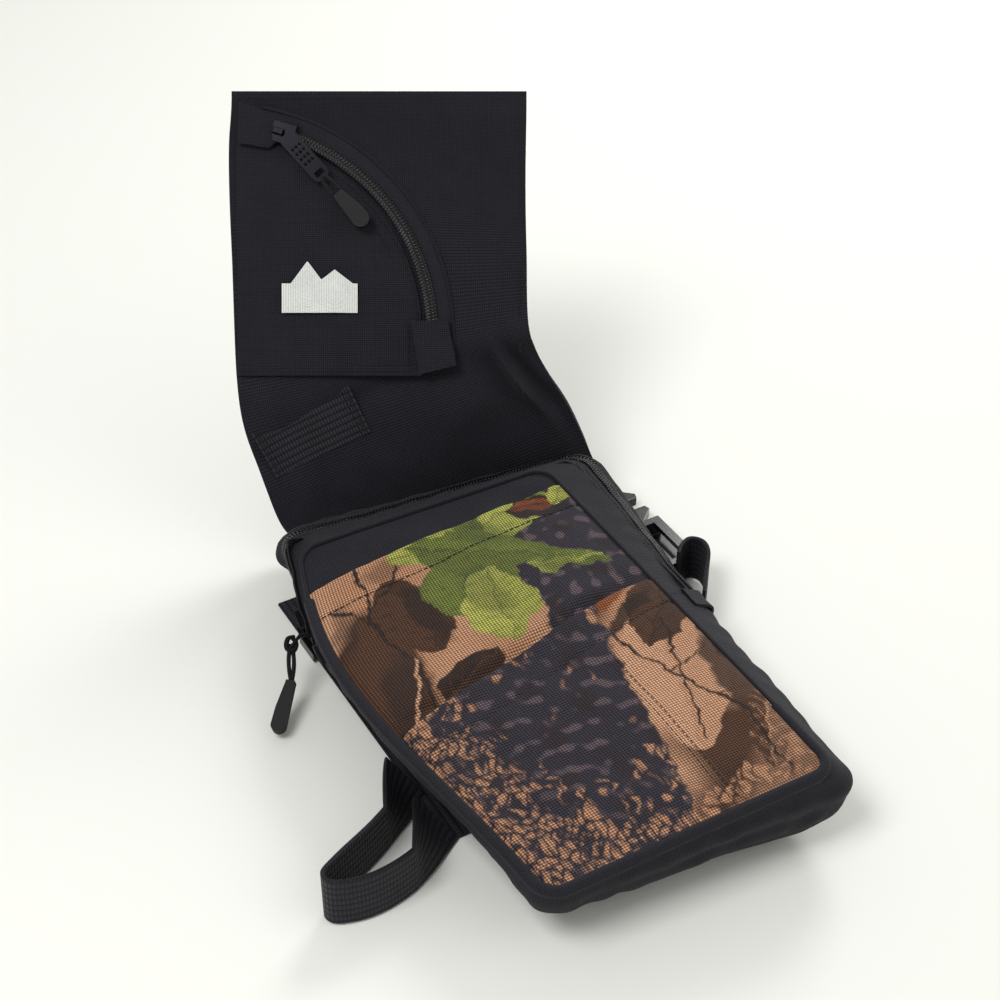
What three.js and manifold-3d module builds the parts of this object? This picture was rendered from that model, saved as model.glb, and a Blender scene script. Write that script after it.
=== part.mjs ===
// Sling bag lying open on its back: a slack zipped pouch with a long flap folded up behind it,
// pleated hunting-print pockets on the front, a curved zipped pocket in the flap, and a webbing
// sling strap with a side-release buckle.
// Millimetres, +Z up. X runs across the bag, Y from its bottom to its top, Z from back to front.
// The origin is on the table, under the middle of the front panel.
import * as THREE from 'three';
import { mergeVertices } from 'three/addons/utils/BufferGeometryUtils.js';
import Module from 'manifold-3d';

const wasm = await Module();
wasm.setup();

// ---- driving sizes -------------------------------------------------------------------------
const BODY_WIDTH = 127;         // front panel, seam to seam
const BODY_HEIGHT = 218;        // front panel, bottom seam to top seam
const BODY_DEPTH = 58;          // gusset, back seam to front seam, measured along the cloth
const REST_DEPTH = 47.8;        // height of the front panel above the table as the bag lies
const CORNER_RADIUS = 17;       // rounded corners of the front and back panels
const CLOTH = 1.2;              // coated polyester with its seam allowance
const LINING = 0.6;
const FOAM = 3;
const GAP = 0.4;                // clearance between layers that touch
const WEBBING_WIDTH = 25.5;
const WEBBING = 1.6;            // webbing thickness
const LEFT_BULGE = 12;          // how far the slack left side stands out past the seams
const RIGHT_BULGE = 20;         // and the right side, which carries the open run of the zip
const END_BULGE = 6;

const FLAP_WIDTH = 137;
const FLAP_PANEL_LENGTH = 136;  // stiff upper part of the flap, with the zipped pocket
const FLAP_ROOT_LENGTH = 45;    // part that wraps over the top of the pouch
const FLAP_CLOTH = 0.85;
const FLAP_TURN = 30;           // degrees the raised flap is turned about the vertical
const FLAP_LEAN = 51;           // degrees the raised flap leans up from the table
const ROOT_LEAN = 70;           // degrees the root of the flap leans up from the table
const ROOT_SKEW = 6.8;          // degrees the flap seam is out of square with the pouch

const CHAIN_WIDTH = 6;          // number 5 coil zip
const CHAIN_THICKNESS = 2;
const TAPE_WIDTH = 9;
const TAPE = 0.6;

// ---- the pouch: flat pattern first, then slumped as the bag lies ------------------------------
const HALF_W = BODY_WIDTH / 2;
const HALF_H = BODY_HEIGHT / 2;
const FRONT_CORNERS = {
  tl: [-HALF_W, HALF_H + 1, REST_DEPTH - 4], tr: [HALF_W - 3.5, HALF_H - 7, REST_DEPTH],
  bl: [-HALF_W - 3, -HALF_H + 1, REST_DEPTH - 12], br: [HALF_W - 3.5, -HALF_H - 8.5, REST_DEPTH],
};
const BACK_CORNERS = {
  tl: [-HALF_W + 26, HALF_H + 39, 0], tr: [HALF_W + 24, HALF_H + 15, 0],
  bl: [-HALF_W + 26, -HALF_H + 21, 0], br: [HALF_W - 11.5, -HALF_H + 5, 0],
};
const LEFT_BOW = 17;            // how far the slack left edge of the front sags outwards
const BACK_LIFT = 21;           // the top of the back is pulled up by the raised flap
const LIFT_START = 0.55;        // share of the height that lies flat on the table
const PITCH = 14;               // length of one facet along a panel or gusset

const lerp = (a, b, t) => a + (b - a) * t;

function bilinear(corners, u, v) {
  return [0, 1, 2].map((i) => lerp(
    lerp(corners.bl[i], corners.br[i], u), lerp(corners.tl[i], corners.tr[i], u), v));
}

// Takes a point of the flat pattern (x across, y up, d out from the back seam) to where it lies.
function slump(x, y, d) {
  const w = THREE.MathUtils.clamp(d / BODY_DEPTH, 0, 1);
  const swell = Math.sin(Math.PI * w);
  const bulge = x < 0 ? LEFT_BULGE : RIGHT_BULGE;
  const u = x * (1 + 2 * bulge / BODY_WIDTH * swell) / BODY_WIDTH + 0.5;
  const v = y * (1 + 2 * END_BULGE / BODY_HEIGHT * swell) / BODY_HEIGHT + 0.5;
  const front = bilinear(FRONT_CORNERS, u, v);
  const back = bilinear(BACK_CORNERS, u, v);
  const share = Math.sin(Math.PI * THREE.MathUtils.clamp(v, 0, 1) ** 1.45);
  front[0] -= LEFT_BOW * share * Math.max(0, 1 - u) ** 1.5;
  back[2] = BACK_LIFT * Math.max(0, (v - LIFT_START) / (1 - LIFT_START)) ** 1.15;
  const over = d - w * BODY_DEPTH;
  return new THREE.Vector3(
    lerp(back[0], front[0], w), lerp(back[1], front[1], w), lerp(back[2], front[2], w) + over);
}

function reshape(geometry, place) {
  const position = geometry.attributes.position;
  for (let i = 0; i < position.count; i += 1) {
    const moved = place(position.getX(i), position.getY(i), position.getZ(i));
    position.setXYZ(i, moved.x, moved.y, moved.z);
  }
  geometry.computeVertexNormals();
  return geometry;
}

const facets = (length) => Math.max(1, Math.round(length / PITCH));

// Pulls the square corners of a grid of points in to a radius.
function roundCorner(x, y, halfW, halfH, radius) {
  const ex = Math.abs(x) - (halfW - radius);
  const ey = Math.abs(y) - (halfH - radius);
  if (ex <= 0 || ey <= 0) return [x, y];
  const rx = ex * Math.sqrt(1 - (ey * ey) / (2 * radius * radius));
  const ry = ey * Math.sqrt(1 - (ex * ex) / (2 * radius * radius));
  return [Math.sign(x) * (halfW - radius + rx), Math.sign(y) * (halfH - radius + ry)];
}

// A whole panel of the pouch, inset from the seam line, between two depths.
function panel(inset, depth, thickness) {
  const halfW = HALF_W - inset;
  const halfH = HALF_H - inset;
  const box = new THREE.BoxGeometry(2 * halfW, 2 * halfH, thickness,
    facets(2 * halfW), facets(2 * halfH), 1);
  return reshape(box, (x, y, z) => {
    const [rx, ry] = roundCorner(x, y, halfW, halfH, CORNER_RADIUS - inset);
    return slump(rx, ry, depth + thickness / 2 + z);
  });
}

// The seam line, measured from the middle of the bottom, up the right side and back down the left.
const STRAIGHT_X = BODY_WIDTH - 2 * CORNER_RADIUS;
const STRAIGHT_Y = BODY_HEIGHT - 2 * CORNER_RADIUS;
const ARC = Math.PI * CORNER_RADIUS / 2;
const SEAM_LENGTH = 2 * (STRAIGHT_X + STRAIGHT_Y) + 4 * ARC;

function seamPoint(distance, inset) {
  const cx = HALF_W - CORNER_RADIUS;
  const cy = HALF_H - CORNER_RADIUS;
  const r = CORNER_RADIUS - inset;
  const runs = [
    { length: STRAIGHT_X / 2, at: (t) => [t, -cy - r] },
    { length: ARC, at: (t) => [cx + r * Math.sin(t / CORNER_RADIUS), -cy - r * Math.cos(t / CORNER_RADIUS)] },
    { length: STRAIGHT_Y, at: (t) => [cx + r, -cy + t] },
    { length: ARC, at: (t) => [cx + r * Math.cos(t / CORNER_RADIUS), cy + r * Math.sin(t / CORNER_RADIUS)] },
    { length: STRAIGHT_X, at: (t) => [cx - t, cy + r] },
    { length: ARC, at: (t) => [-cx - r * Math.sin(t / CORNER_RADIUS), cy + r * Math.cos(t / CORNER_RADIUS)] },
    { length: STRAIGHT_Y, at: (t) => [-cx - r, cy - t] },
    { length: ARC, at: (t) => [-cx - r * Math.cos(t / CORNER_RADIUS), -cy - r * Math.sin(t / CORNER_RADIUS)] },
    { length: STRAIGHT_X / 2, at: (t) => [-cx + t, -cy - r] },
  ];
  let left = distance;
  for (const run of runs) {
    if (left <= run.length) return run.at(left);
    left -= run.length;
  }
  return [0, -cy - r];
}

const rightSide = (y) => STRAIGHT_X / 2 + ARC + (y + HALF_H - CORNER_RADIUS);
const leftSide = (y) => SEAM_LENGTH - rightSide(y);

// A strip of cloth that follows the seam line: from and to along it, inset from it, and two depths.
function strip(from, to, inset, thickness, depth, width) {
  const box = new THREE.BoxGeometry(to - from, thickness, width, facets(to - from) * 2, 1, facets(width));
  return reshape(box, (s, n, z) => {
    const [x, y] = seamPoint((from + to) / 2 + s, inset + thickness / 2 + n);
    return slump(x, y, depth + width / 2 + z);
  });
}

// ---- plain helpers -----------------------------------------------------------------------------
const FINISHES = {
  cloth: { color: 0x1b1b20, roughness: 0.9, metalness: 0 },
  lining: { color: 0x2a2a30, roughness: 0.85, metalness: 0 },
  foam: { color: 0x3a3a3e, roughness: 1, metalness: 0 },
  print: { color: 0x8a7458, roughness: 0.9, metalness: 0 },
  webbing: { color: 0x17171b, roughness: 0.8, metalness: 0 },
  coil: { color: 0x0e0e11, roughness: 0.45, metalness: 0 },
  metal: { color: 0x151518, roughness: 0.35, metalness: 0.8 },
  acetal: { color: 0x141417, roughness: 0.3, metalness: 0 },
  rubber: { color: 0x1a1a1d, roughness: 0.7, metalness: 0 },
};

function piece(name, geometry, finish, parent) {
  const mesh = new THREE.Mesh(geometry, new THREE.MeshStandardMaterial(FINISHES[finish]));
  mesh.name = name;
  parent.add(mesh);
  return mesh;
}

function outline(points) {
  return new THREE.Shape(points.map(([x, y]) => new THREE.Vector2(x, y)));
}

function plate(shape, z, thickness) {
  const geometry = new THREE.ExtrudeGeometry(shape, { depth: thickness, bevelEnabled: false, curveSegments: 10 });
  return geometry.translate(0, 0, z);
}

function roundedRect(width, height, radius) {
  const shape = new THREE.Shape();
  const [w, h] = [width / 2 - radius, height / 2 - radius];
  shape.absarc(w, h, radius, 0, Math.PI / 2);
  shape.absarc(-w, h, radius, Math.PI / 2, Math.PI);
  shape.absarc(-w, -h, radius, Math.PI, 1.5 * Math.PI);
  shape.absarc(w, -h, radius, 1.5 * Math.PI, 2 * Math.PI);
  shape.closePath();
  return shape;
}

function rectHole(width, height, x, y) {
  const [w, h] = [width / 2, height / 2];
  return new THREE.Path([[-w, -h], [-w, h], [w, h], [w, -h]].map(([px, py]) => new THREE.Vector2(x + px, y + py)));
}

function band(radiusIn, radiusOut, fromDeg, toDeg) {
  const [from, to] = [fromDeg, toDeg].map(THREE.MathUtils.degToRad);
  const shape = new THREE.Shape();
  shape.absarc(0, 0, radiusOut, from, to, false);
  shape.absarc(0, 0, radiusIn, to, from, true);
  shape.closePath();
  return shape;
}

function cordTube(points, radius, steps) {
  const section = new THREE.Shape();
  section.absarc(0, 0, radius, 0, 2 * Math.PI);
  const path = new THREE.CatmullRomCurve3(points.map((p) => new THREE.Vector3(...p)));
  return new THREE.ExtrudeGeometry(section, { steps, extrudePath: path, curveSegments: 4, bevelEnabled: false });
}

function toSolid(geometry) {
  const bare = geometry.clone();
  bare.deleteAttribute('normal');
  bare.deleteAttribute('uv');
  const merged = mergeVertices(bare, 1e-4);
  return new wasm.Manifold(new wasm.Mesh({
    numProp: 3, vertProperties: merged.attributes.position.array, triVerts: new Uint32Array(merged.index.array),
  }));
}

function fromSolid(solid) {
  const mesh = solid.getMesh();
  const geometry = new THREE.BufferGeometry();
  geometry.setAttribute('position', new THREE.BufferAttribute(new Float32Array(mesh.vertProperties), 3));
  geometry.setIndex(new THREE.BufferAttribute(new Uint32Array(mesh.triVerts), 1));
  geometry.computeVertexNormals();
  return geometry;
}

const join = (...geometries) => fromSolid(geometries.map(toSolid).reduce((a, b) => a.add(b)));
const cut = (geometry, ...tools) => fromSolid(tools.map(toSolid).reduce((a, b) => a.subtract(b), toSolid(geometry)));

function boxAt(x, y, z, width, height, depth) {
  return new THREE.BoxGeometry(width, height, depth).translate(x + width / 2, y + height / 2, z + depth / 2);
}

const bag = new THREE.Group();

// ---- pouch -------------------------------------------------------------------------------------
const ZIP_RIGHT_Y = 8;          // height of the zip's lower end on the right side
const ZIP_LEFT_Y = 50;          // and on the left side
const ZIP_DEPTH = BODY_DEPTH - 20;
const zipFrom = rightSide(ZIP_RIGHT_Y);
const zipTo = leftSide(ZIP_LEFT_Y);
const LAYER = CLOTH + GAP;
const CURVE_GAP = 1.4;          // clearance between curved layers, which are cut into flat facets
const END_TAB_WIDTH = 22;       // cloth tab sewn across each end of the zip
const SLIT = 0.6;               // cut that lets a closed ring of cloth stay one open strip

function buildPanels() {
  const foamDepth = LAYER;
  const backLining = foamDepth + FOAM + GAP;
  piece('back_panel', panel(0, 0, CLOTH), 'cloth', bag);
  piece('back_foam', panel(5, foamDepth, FOAM), 'foam', bag);
  piece('back_lining', panel(5, backLining, LINING), 'lining', bag);
  piece('front_panel', panel(0, BODY_DEPTH - CLOTH, CLOTH), 'cloth', bag);
  piece('front_lining', panel(5, BODY_DEPTH - LAYER - LINING, LINING), 'lining', bag);
}

function buildGusset() {
  const low = LAYER;
  const high = BODY_DEPTH - LAYER;
  const halfChain = CHAIN_WIDTH / 2 + GAP;
  const lowerFrom = leftSide(ZIP_LEFT_Y) + GAP;
  const lowerTo = SEAM_LENGTH + rightSide(ZIP_RIGHT_Y) - GAP;
  const wrapped = new THREE.BoxGeometry(lowerTo - lowerFrom, CLOTH, high - low,
    facets(lowerTo - lowerFrom) * 2, 1, facets(high - low));
  reshape(wrapped, (s, n, z) => {
    const along = ((lowerFrom + lowerTo) / 2 + s) % SEAM_LENGTH;
    const [x, y] = seamPoint(along, CLOTH / 2 + n);
    return slump(x, y, (low + high) / 2 + z);
  });
  piece('lower_gusset', wrapped, 'cloth', bag);
  piece('zip_gusset_back',
    strip(zipFrom, zipTo, 0, CLOTH, low, ZIP_DEPTH - halfChain - low), 'cloth', bag);
  piece('zip_gusset_front',
    strip(zipFrom, zipTo, 0, CLOTH, ZIP_DEPTH + halfChain, high - ZIP_DEPTH - halfChain), 'cloth', bag);
  const tapeInset = CLOTH + CURVE_GAP;
  piece('main_zip_tape_back',
    strip(zipFrom, zipTo, tapeInset, TAPE, ZIP_DEPTH - GAP / 2 - TAPE_WIDTH, TAPE_WIDTH), 'webbing', bag);
  piece('main_zip_tape_front',
    strip(zipFrom, zipTo, tapeInset, TAPE, ZIP_DEPTH + GAP / 2, TAPE_WIDTH), 'webbing', bag);
  piece('main_zip_chain',
    strip(zipFrom, zipTo, CLOTH - CHAIN_THICKNESS, CHAIN_THICKNESS, ZIP_DEPTH - CHAIN_WIDTH / 2, CHAIN_WIDTH),
    'coil', bag);
  const tabInset = -(CLOTH + CURVE_GAP);
  const tabDepth = ZIP_DEPTH - END_TAB_WIDTH / 2;
  piece('zip_end_tab_right',
    strip(zipFrom - 8, zipFrom + 3, tabInset, CLOTH, tabDepth, END_TAB_WIDTH), 'cloth', bag);
  piece('zip_end_tab_left',
    strip(zipTo, zipTo + 11, tabInset, CLOTH, tabDepth, END_TAB_WIDTH), 'cloth', bag);
  const sleeveInset = tapeInset + TAPE + CURVE_GAP;
  piece('lining_sleeve',
    strip(SLIT / 2, SEAM_LENGTH - SLIT / 2, sleeveInset, LINING, 8, BODY_DEPTH - 14), 'lining', bag);
}

function buildWelt() {
  const width = 3;
  const height = 2.4;
  piece('front_welt',
    strip(SLIT / 2, SEAM_LENGTH - SLIT / 2, 0, width, BODY_DEPTH + GAP, height), 'cloth', bag);
}

// A pocket panel between two slanting edges; y is given on its left and on its right side.
function pocketPanel(top, bottom, depth) {
  const inset = 3 + GAP * 2;
  const width = BODY_WIDTH - 2 * inset;
  const reach = HALF_H - inset;
  const box = new THREE.BoxGeometry(width, 1, CLOTH, facets(width), facets(BODY_HEIGHT), 1);
  return reshape(box, (x, t, z) => {
    const across = x / width + 0.5;
    const y = lerp(lerp(bottom[0], bottom[1], across), lerp(top[0], top[1], across), t + 0.5);
    const [rx, ry] = roundCorner(x, y, width / 2, reach, CORNER_RADIUS - inset);
    return slump(rx, ry, depth + CLOTH / 2 + z);
  });
}

const UPPER_POCKET_TOP = [HALF_H - 29, HALF_H - 15];      // upper hem, left and right
const LOWER_POCKET_TOP = [-15, 18];     // slanting hand hem, left and right

function buildPockets() {
  const floor = -(HALF_H - 3 - GAP * 2);
  piece('upper_pocket', pocketPanel(UPPER_POCKET_TOP, [floor, floor], BODY_DEPTH + GAP), 'print', bag);
  piece('lower_pocket',
    pocketPanel(LOWER_POCKET_TOP, [floor, floor], BODY_DEPTH + GAP + LAYER), 'print', bag);
}

// ---- main zip slider and its cord pull -----------------------------------------------------------
const SLIDER_LENGTH = 11;
const SLIDER_CLEARANCE = 0.8;

// A slider: x across the zip, y out of the cloth from the chain's middle, z along the zip. A channel
// over the chain, with a bridge on its roof for the pull.
const SLIDER_ROOF = CHAIN_THICKNESS / 2 + SLIDER_CLEARANCE;
const SLIDER_ROOF_THICKNESS = 1;
const BRIDGE_HEIGHT = 2.4;
const BRIDGE_LENGTH = 5;

function sliderGeometry() {
  const inner = CHAIN_WIDTH / 2 + SLIDER_CLEARANCE;
  const outer = inner + 1.2;
  const skirt = 0.6;
  const top = SLIDER_ROOF + SLIDER_ROOF_THICKNESS;
  const section = outline([
    [-outer, -skirt], [-inner, -skirt], [-inner, SLIDER_ROOF], [inner, SLIDER_ROOF], [inner, -skirt],
    [outer, -skirt], [outer, top], [-outer, top],
  ]);
  const channel = new THREE.ExtrudeGeometry(section, { depth: SLIDER_LENGTH, bevelEnabled: false });
  channel.translate(0, 0, -SLIDER_LENGTH / 2);
  const bridge = boxAt(-1.3, top - 0.4, -SLIDER_LENGTH / 2 + 0.6, 2.6, BRIDGE_HEIGHT + 0.4, BRIDGE_LENGTH);
  return join(channel, bridge);
}

// Frame on the main zip at a height on the left side: along the zip, out of the gusset.
function leftZipFrame(y) {
  const at = slump(-HALF_W, y, ZIP_DEPTH);
  const along = slump(-HALF_W, y + 12, ZIP_DEPTH).sub(at).normalize();
  const across = slump(-HALF_W, y, ZIP_DEPTH + 3).sub(slump(-HALF_W, y, ZIP_DEPTH - 3)).normalize();
  const out = new THREE.Vector3().crossVectors(across, along).normalize();
  const side = new THREE.Vector3().crossVectors(out, along).normalize();
  return { at, basis: new THREE.Matrix4().makeBasis(side, out, along) };
}

const PULL_CORD_RADIUS = 1.1;
const LINK_RADIUS = 0.8;
const GRIP_LENGTH = 24;
const GRIP_WIDTH = 6.5;
const GRIP_THICKNESS = 4;

function gripGeometry(length, width, thickness) {
  const shape = new THREE.Shape();
  shape.moveTo(-width * 0.3, 0);
  shape.lineTo(width * 0.3, 0);
  shape.lineTo(width / 2, -length * 0.55);
  shape.absarc(0, -length + width / 2, width / 2, 0, Math.PI, true);
  shape.closePath();
  return plate(shape, -thickness / 2, thickness);
}

const PULL_EYE = new THREE.Vector3(-10, -4, -4.5);       // knot of the pull, from the slider
const PULL_DROP = new THREE.Vector3(-5.3, -9.5, -12);    // grip's top, from the knot
const GRIP_LAY = new THREE.Vector3(-14.5, -15.5, -9);    // way the grip points

function buildMainPull() {
  const frame = leftZipFrame(ZIP_LEFT_Y + SLIDER_LENGTH);
  const slider = piece('main_slider', sliderGeometry(), 'metal', bag);
  slider.quaternion.setFromRotationMatrix(frame.basis);
  slider.position.copy(frame.at);
  const eye = frame.at.clone().add(PULL_EYE);
  const gripTop = eye.clone().add(PULL_DROP);
  const bridgeEnd = new THREE.Vector3(0, SLIDER_ROOF + SLIDER_ROOF_THICKNESS + BRIDGE_HEIGHT / 2,
    -SLIDER_LENGTH / 2 - LINK_RADIUS).applyMatrix4(frame.basis).add(frame.at);
  const reach = eye.clone().sub(bridgeEnd).setLength(eye.distanceTo(bridgeEnd) - LINK_RADIUS).add(bridgeEnd);
  piece('main_pull_link', cordTube([bridgeEnd.toArray(), reach.toArray()], LINK_RADIUS, 4), 'webbing', bag);
  const spread = 1.5;
  const across = new THREE.Vector3().crossVectors(GRIP_LAY, new THREE.Vector3(0, 0, 1)).normalize();
  const down = PULL_DROP.clone().normalize();
  const at = (along, side) => eye.clone().addScaledVector(down, along).addScaledVector(across, side).toArray();
  const end = PULL_DROP.length() - 1.5;
  const route = [at(end, spread), at(5, spread), at(LINK_RADIUS + PULL_CORD_RADIUS, 0), at(5, -spread), at(end, -spread)];
  piece('main_pull_cord', cordTube(route, PULL_CORD_RADIUS, 24), 'webbing', bag);
  const grip = piece('main_pull_grip', gripGeometry(GRIP_LENGTH, GRIP_WIDTH, GRIP_THICKNESS), 'rubber', bag);
  const back = GRIP_LAY.clone().normalize().negate();
  grip.quaternion.setFromRotationMatrix(
    new THREE.Matrix4().makeBasis(across, back, new THREE.Vector3().crossVectors(across, back)));
  grip.position.copy(gripTop);
}

// ---- flap ----------------------------------------------------------------------------------------
const flapSeamLeft = slump(-HALF_W, HALF_H, 0).add(new THREE.Vector3(-19.5, 2, 3));
const FLAP_STEP = new THREE.Vector3(2, 44.2, 55.4);   // from the seam's left end to the panel's lower left

const rootGroup = new THREE.Group();
rootGroup.position.copy(flapSeamLeft);
rootGroup.rotation.set(THREE.MathUtils.degToRad(ROOT_LEAN), 0, THREE.MathUtils.degToRad(-ROOT_SKEW), 'ZYX');
bag.add(rootGroup);

const panelGroup = new THREE.Group();
panelGroup.rotation.set(THREE.MathUtils.degToRad(FLAP_LEAN), 0, THREE.MathUtils.degToRad(-FLAP_TURN), 'ZYX');
panelGroup.position.copy(flapSeamLeft).add(FLAP_STEP);
bag.add(panelGroup);

const STRIP_LENGTH = 52;        // webbing strip sewn to the root of the flap

function buildFlapRoot() {
  piece('flap_root', boxAt(0, 1, -2 * FLAP_CLOTH, FLAP_WIDTH, FLAP_ROOT_LENGTH - 1, 2 * FLAP_CLOTH), 'cloth', rootGroup);
  piece('flap_webbing_strip',
    boxAt(4, FLAP_ROOT_LENGTH - WEBBING_WIDTH - 2, GAP, STRIP_LENGTH, WEBBING_WIDTH, WEBBING), 'webbing', rootGroup);
}

// Flap zip: an arc about a centre on the flap, in the panel's own frame (origin at its lower left).
const ZIP_CENTRE = { x: -3.65, y: FLAP_PANEL_LENGTH - 112.9 };
const ZIP_RADIUS = 96.7;
const SLIDER_ANGLE = 73;        // closed end of the flap zip, degrees about the centre
const ZIP_TOP_ANGLE = 80;
const POCKET_TOP = FLAP_PANEL_LENGTH - 8;
const POCKET_FLOOR = 4;
const TAPE_Z = GAP;
const CHAIN_Z = TAPE_Z + TAPE + GAP;

function arcPiece(name, radiusIn, radiusOut, fromDeg, toDeg, z, thickness, finish) {
  const mesh = piece(name, plate(band(radiusIn, radiusOut, fromDeg, toDeg), z, thickness), finish, panelGroup);
  mesh.position.set(ZIP_CENTRE.x, ZIP_CENTRE.y, 0);
}

function buildFlapPanel() {
  piece('flap_outer_panel',
    boxAt(0, 0, -2 * FLAP_CLOTH - GAP, FLAP_WIDTH, FLAP_PANEL_LENGTH, FLAP_CLOTH), 'cloth', panelGroup);
  piece('flap_lining_panel',
    boxAt(0.5, 0.5, -FLAP_CLOTH, FLAP_WIDTH - 1, FLAP_PANEL_LENGTH - 1, FLAP_CLOTH), 'cloth', panelGroup);
  const halfChain = CHAIN_WIDTH / 2 + GAP;
  arcPiece('flap_zip_tape_inner', ZIP_RADIUS - TAPE_WIDTH, ZIP_RADIUS - GAP / 2, 0, ZIP_TOP_ANGLE, TAPE_Z, TAPE, 'webbing');
  arcPiece('flap_zip_tape_outer', ZIP_RADIUS + GAP / 2, ZIP_RADIUS + TAPE_WIDTH, 0, ZIP_TOP_ANGLE, TAPE_Z, TAPE, 'webbing');
  arcPiece('flap_zip_chain', ZIP_RADIUS - CHAIN_WIDTH / 2, ZIP_RADIUS + CHAIN_WIDTH / 2, 0, ZIP_TOP_ANGLE,
    CHAIN_Z, CHAIN_THICKNESS, 'coil');
  buildFlapPocket(ZIP_RADIUS - halfChain - 2);
}

function buildFlapPocket(radius) {
  const pocket = new THREE.Shape();
  const [cx, cy] = [ZIP_CENTRE.x, ZIP_CENTRE.y];
  const left = 2.5;
  const start = Math.acos((left - cx) / radius);
  pocket.moveTo(left, POCKET_FLOOR);
  pocket.lineTo(cx + radius, POCKET_FLOOR);
  pocket.absarc(cx, cy, radius, 0, start, false);
  pocket.closePath();
  piece('flap_pocket_panel', plate(pocket, CHAIN_Z, CLOTH), 'cloth', panelGroup);
  const coverZ = CHAIN_Z + CHAIN_THICKNESS + GAP;
  const top = FLAP_PANEL_LENGTH;
  piece('flap_zip_cover_upper',
    plate(outline([[3, top - 27], [12, top - 27], [16, top - 13], [3, top - 7]]), coverZ, CLOTH), 'cloth', panelGroup);
  const lowX = cx + ZIP_RADIUS;
  piece('flap_zip_cover_lower',
    plate(outline([[lowX - 9, 4], [lowX + 9, 6], [lowX + 8, cy + 6], [lowX - 9, cy + 5]]), coverZ, CLOTH),
    'cloth', panelGroup);
}

const TAB_LENGTH = 27;
const TAB_WIDTH = 8.4;
const TAB_THICKNESS = 1.6;
const TAB_DIRECTION = -48;      // degrees, in the flap's plane, in which the pull tab lies

function flapPoint(angleDeg, radius) {
  const a = THREE.MathUtils.degToRad(angleDeg);
  return [ZIP_CENTRE.x + radius * Math.cos(a), ZIP_CENTRE.y + radius * Math.sin(a)];
}

function buildFlapPull() {
  const [sx, sy] = flapPoint(SLIDER_ANGLE, ZIP_RADIUS);
  const chainMid = CHAIN_Z + CHAIN_THICKNESS / 2;
  const slider = piece('flap_slider', sliderGeometry(), 'metal', panelGroup);
  const tangent = THREE.MathUtils.degToRad(SLIDER_ANGLE);
  slider.quaternion.setFromRotationMatrix(new THREE.Matrix4().makeBasis(
    new THREE.Vector3(Math.cos(tangent), Math.sin(tangent), 0), new THREE.Vector3(0, 0, 1),
    new THREE.Vector3(Math.sin(tangent), -Math.cos(tangent), 0)));
  slider.position.set(sx, sy, chainMid);
  const lay = new THREE.Group();
  lay.position.set(sx, sy, chainMid + SLIDER_ROOF + SLIDER_ROOF_THICKNESS + GAP);
  lay.rotation.z = THREE.MathUtils.degToRad(TAB_DIRECTION);
  panelGroup.add(lay);
  const start = 1.5;
  const tabShape = roundedRect(TAB_LENGTH, TAB_WIDTH, 2.4);
  tabShape.holes.push(rectHole(2.6, 4.6, TAB_LENGTH / 2 - 3.4, 0));
  piece('flap_pull_tab', plate(tabShape, 0, TAB_THICKNESS).translate(start + TAB_LENGTH / 2, 0, 0), 'metal', lay);
  const cordStart = start + TAB_LENGTH + GAP * 2;
  const cord = [[cordStart + 8, 2, 1.8], [cordStart + 5.5, 2, 1.6], [cordStart + 3.4, 1.75, 1.4], [cordStart + 2, 1, 1.4],
    [cordStart + 1.5, 0, 1.4], [cordStart + 2, -1, 1.4], [cordStart + 3.4, -1.75, 1.4], [cordStart + 5.5, -2, 1.6],
    [cordStart + 8, -2, 1.8]];
  piece('flap_pull_cord', cordTube(cord, 0.8, 28), 'webbing', lay);
  const grip = piece('flap_pull_grip', gripGeometry(20, 8.4, 4), 'rubber', lay);
  grip.rotation.z = Math.PI / 2;
  grip.position.set(cordStart + 8 + GAP, 0, 1.8);
}

// ---- straps and buckle -----------------------------------------------------------------------------
const RUN_INSET = 18.5;         // inner edge of the strap that lies flat, in from the pouch's side
const TUCK_END = HALF_W - RUN_INSET + WEBBING_WIDTH;   // where a standing strap has leaned most, under the slack side
const TUCK_START = TUCK_END + 21.5;                    // and where it begins to lean
const TUCK_LEAN = 60;           // degrees from upright

// Webbing on its edge on the table, along a route seen from above; it leans over where it is tucked
// under the side of the pouch.
function standingWebbing(points, steps) {
  const path = new THREE.CatmullRomCurve3(points.map(([x, y]) => new THREE.Vector3(x, y, 0)));
  const geometry = new THREE.BoxGeometry(1, WEBBING, WEBBING_WIDTH, steps, 1, 1);
  return reshape(geometry, (t, n, z) => {
    const along = THREE.MathUtils.clamp(t + 0.5, 0, 1);
    const at = path.getPoint(along);
    const way = path.getTangent(along);
    const tuck = THREE.MathUtils.clamp((TUCK_START - Math.abs(at.x)) / (TUCK_START - TUCK_END), 0, 1);
    const lean = THREE.MathUtils.degToRad(TUCK_LEAN) * tuck * (at.x < 0 ? 1 : 0);
    const side = Math.sign(way.x);
    const up = z + WEBBING_WIDTH / 2;
    const rise = up * Math.cos(lean) + side * n * Math.sin(lean) + WEBBING / 2 * Math.sin(lean);
    const reach = up * Math.sin(lean);
    return new THREE.Vector3(at.x - way.y * n, at.y + way.x * n * Math.cos(lean) + reach, rise);
  });
}

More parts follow.
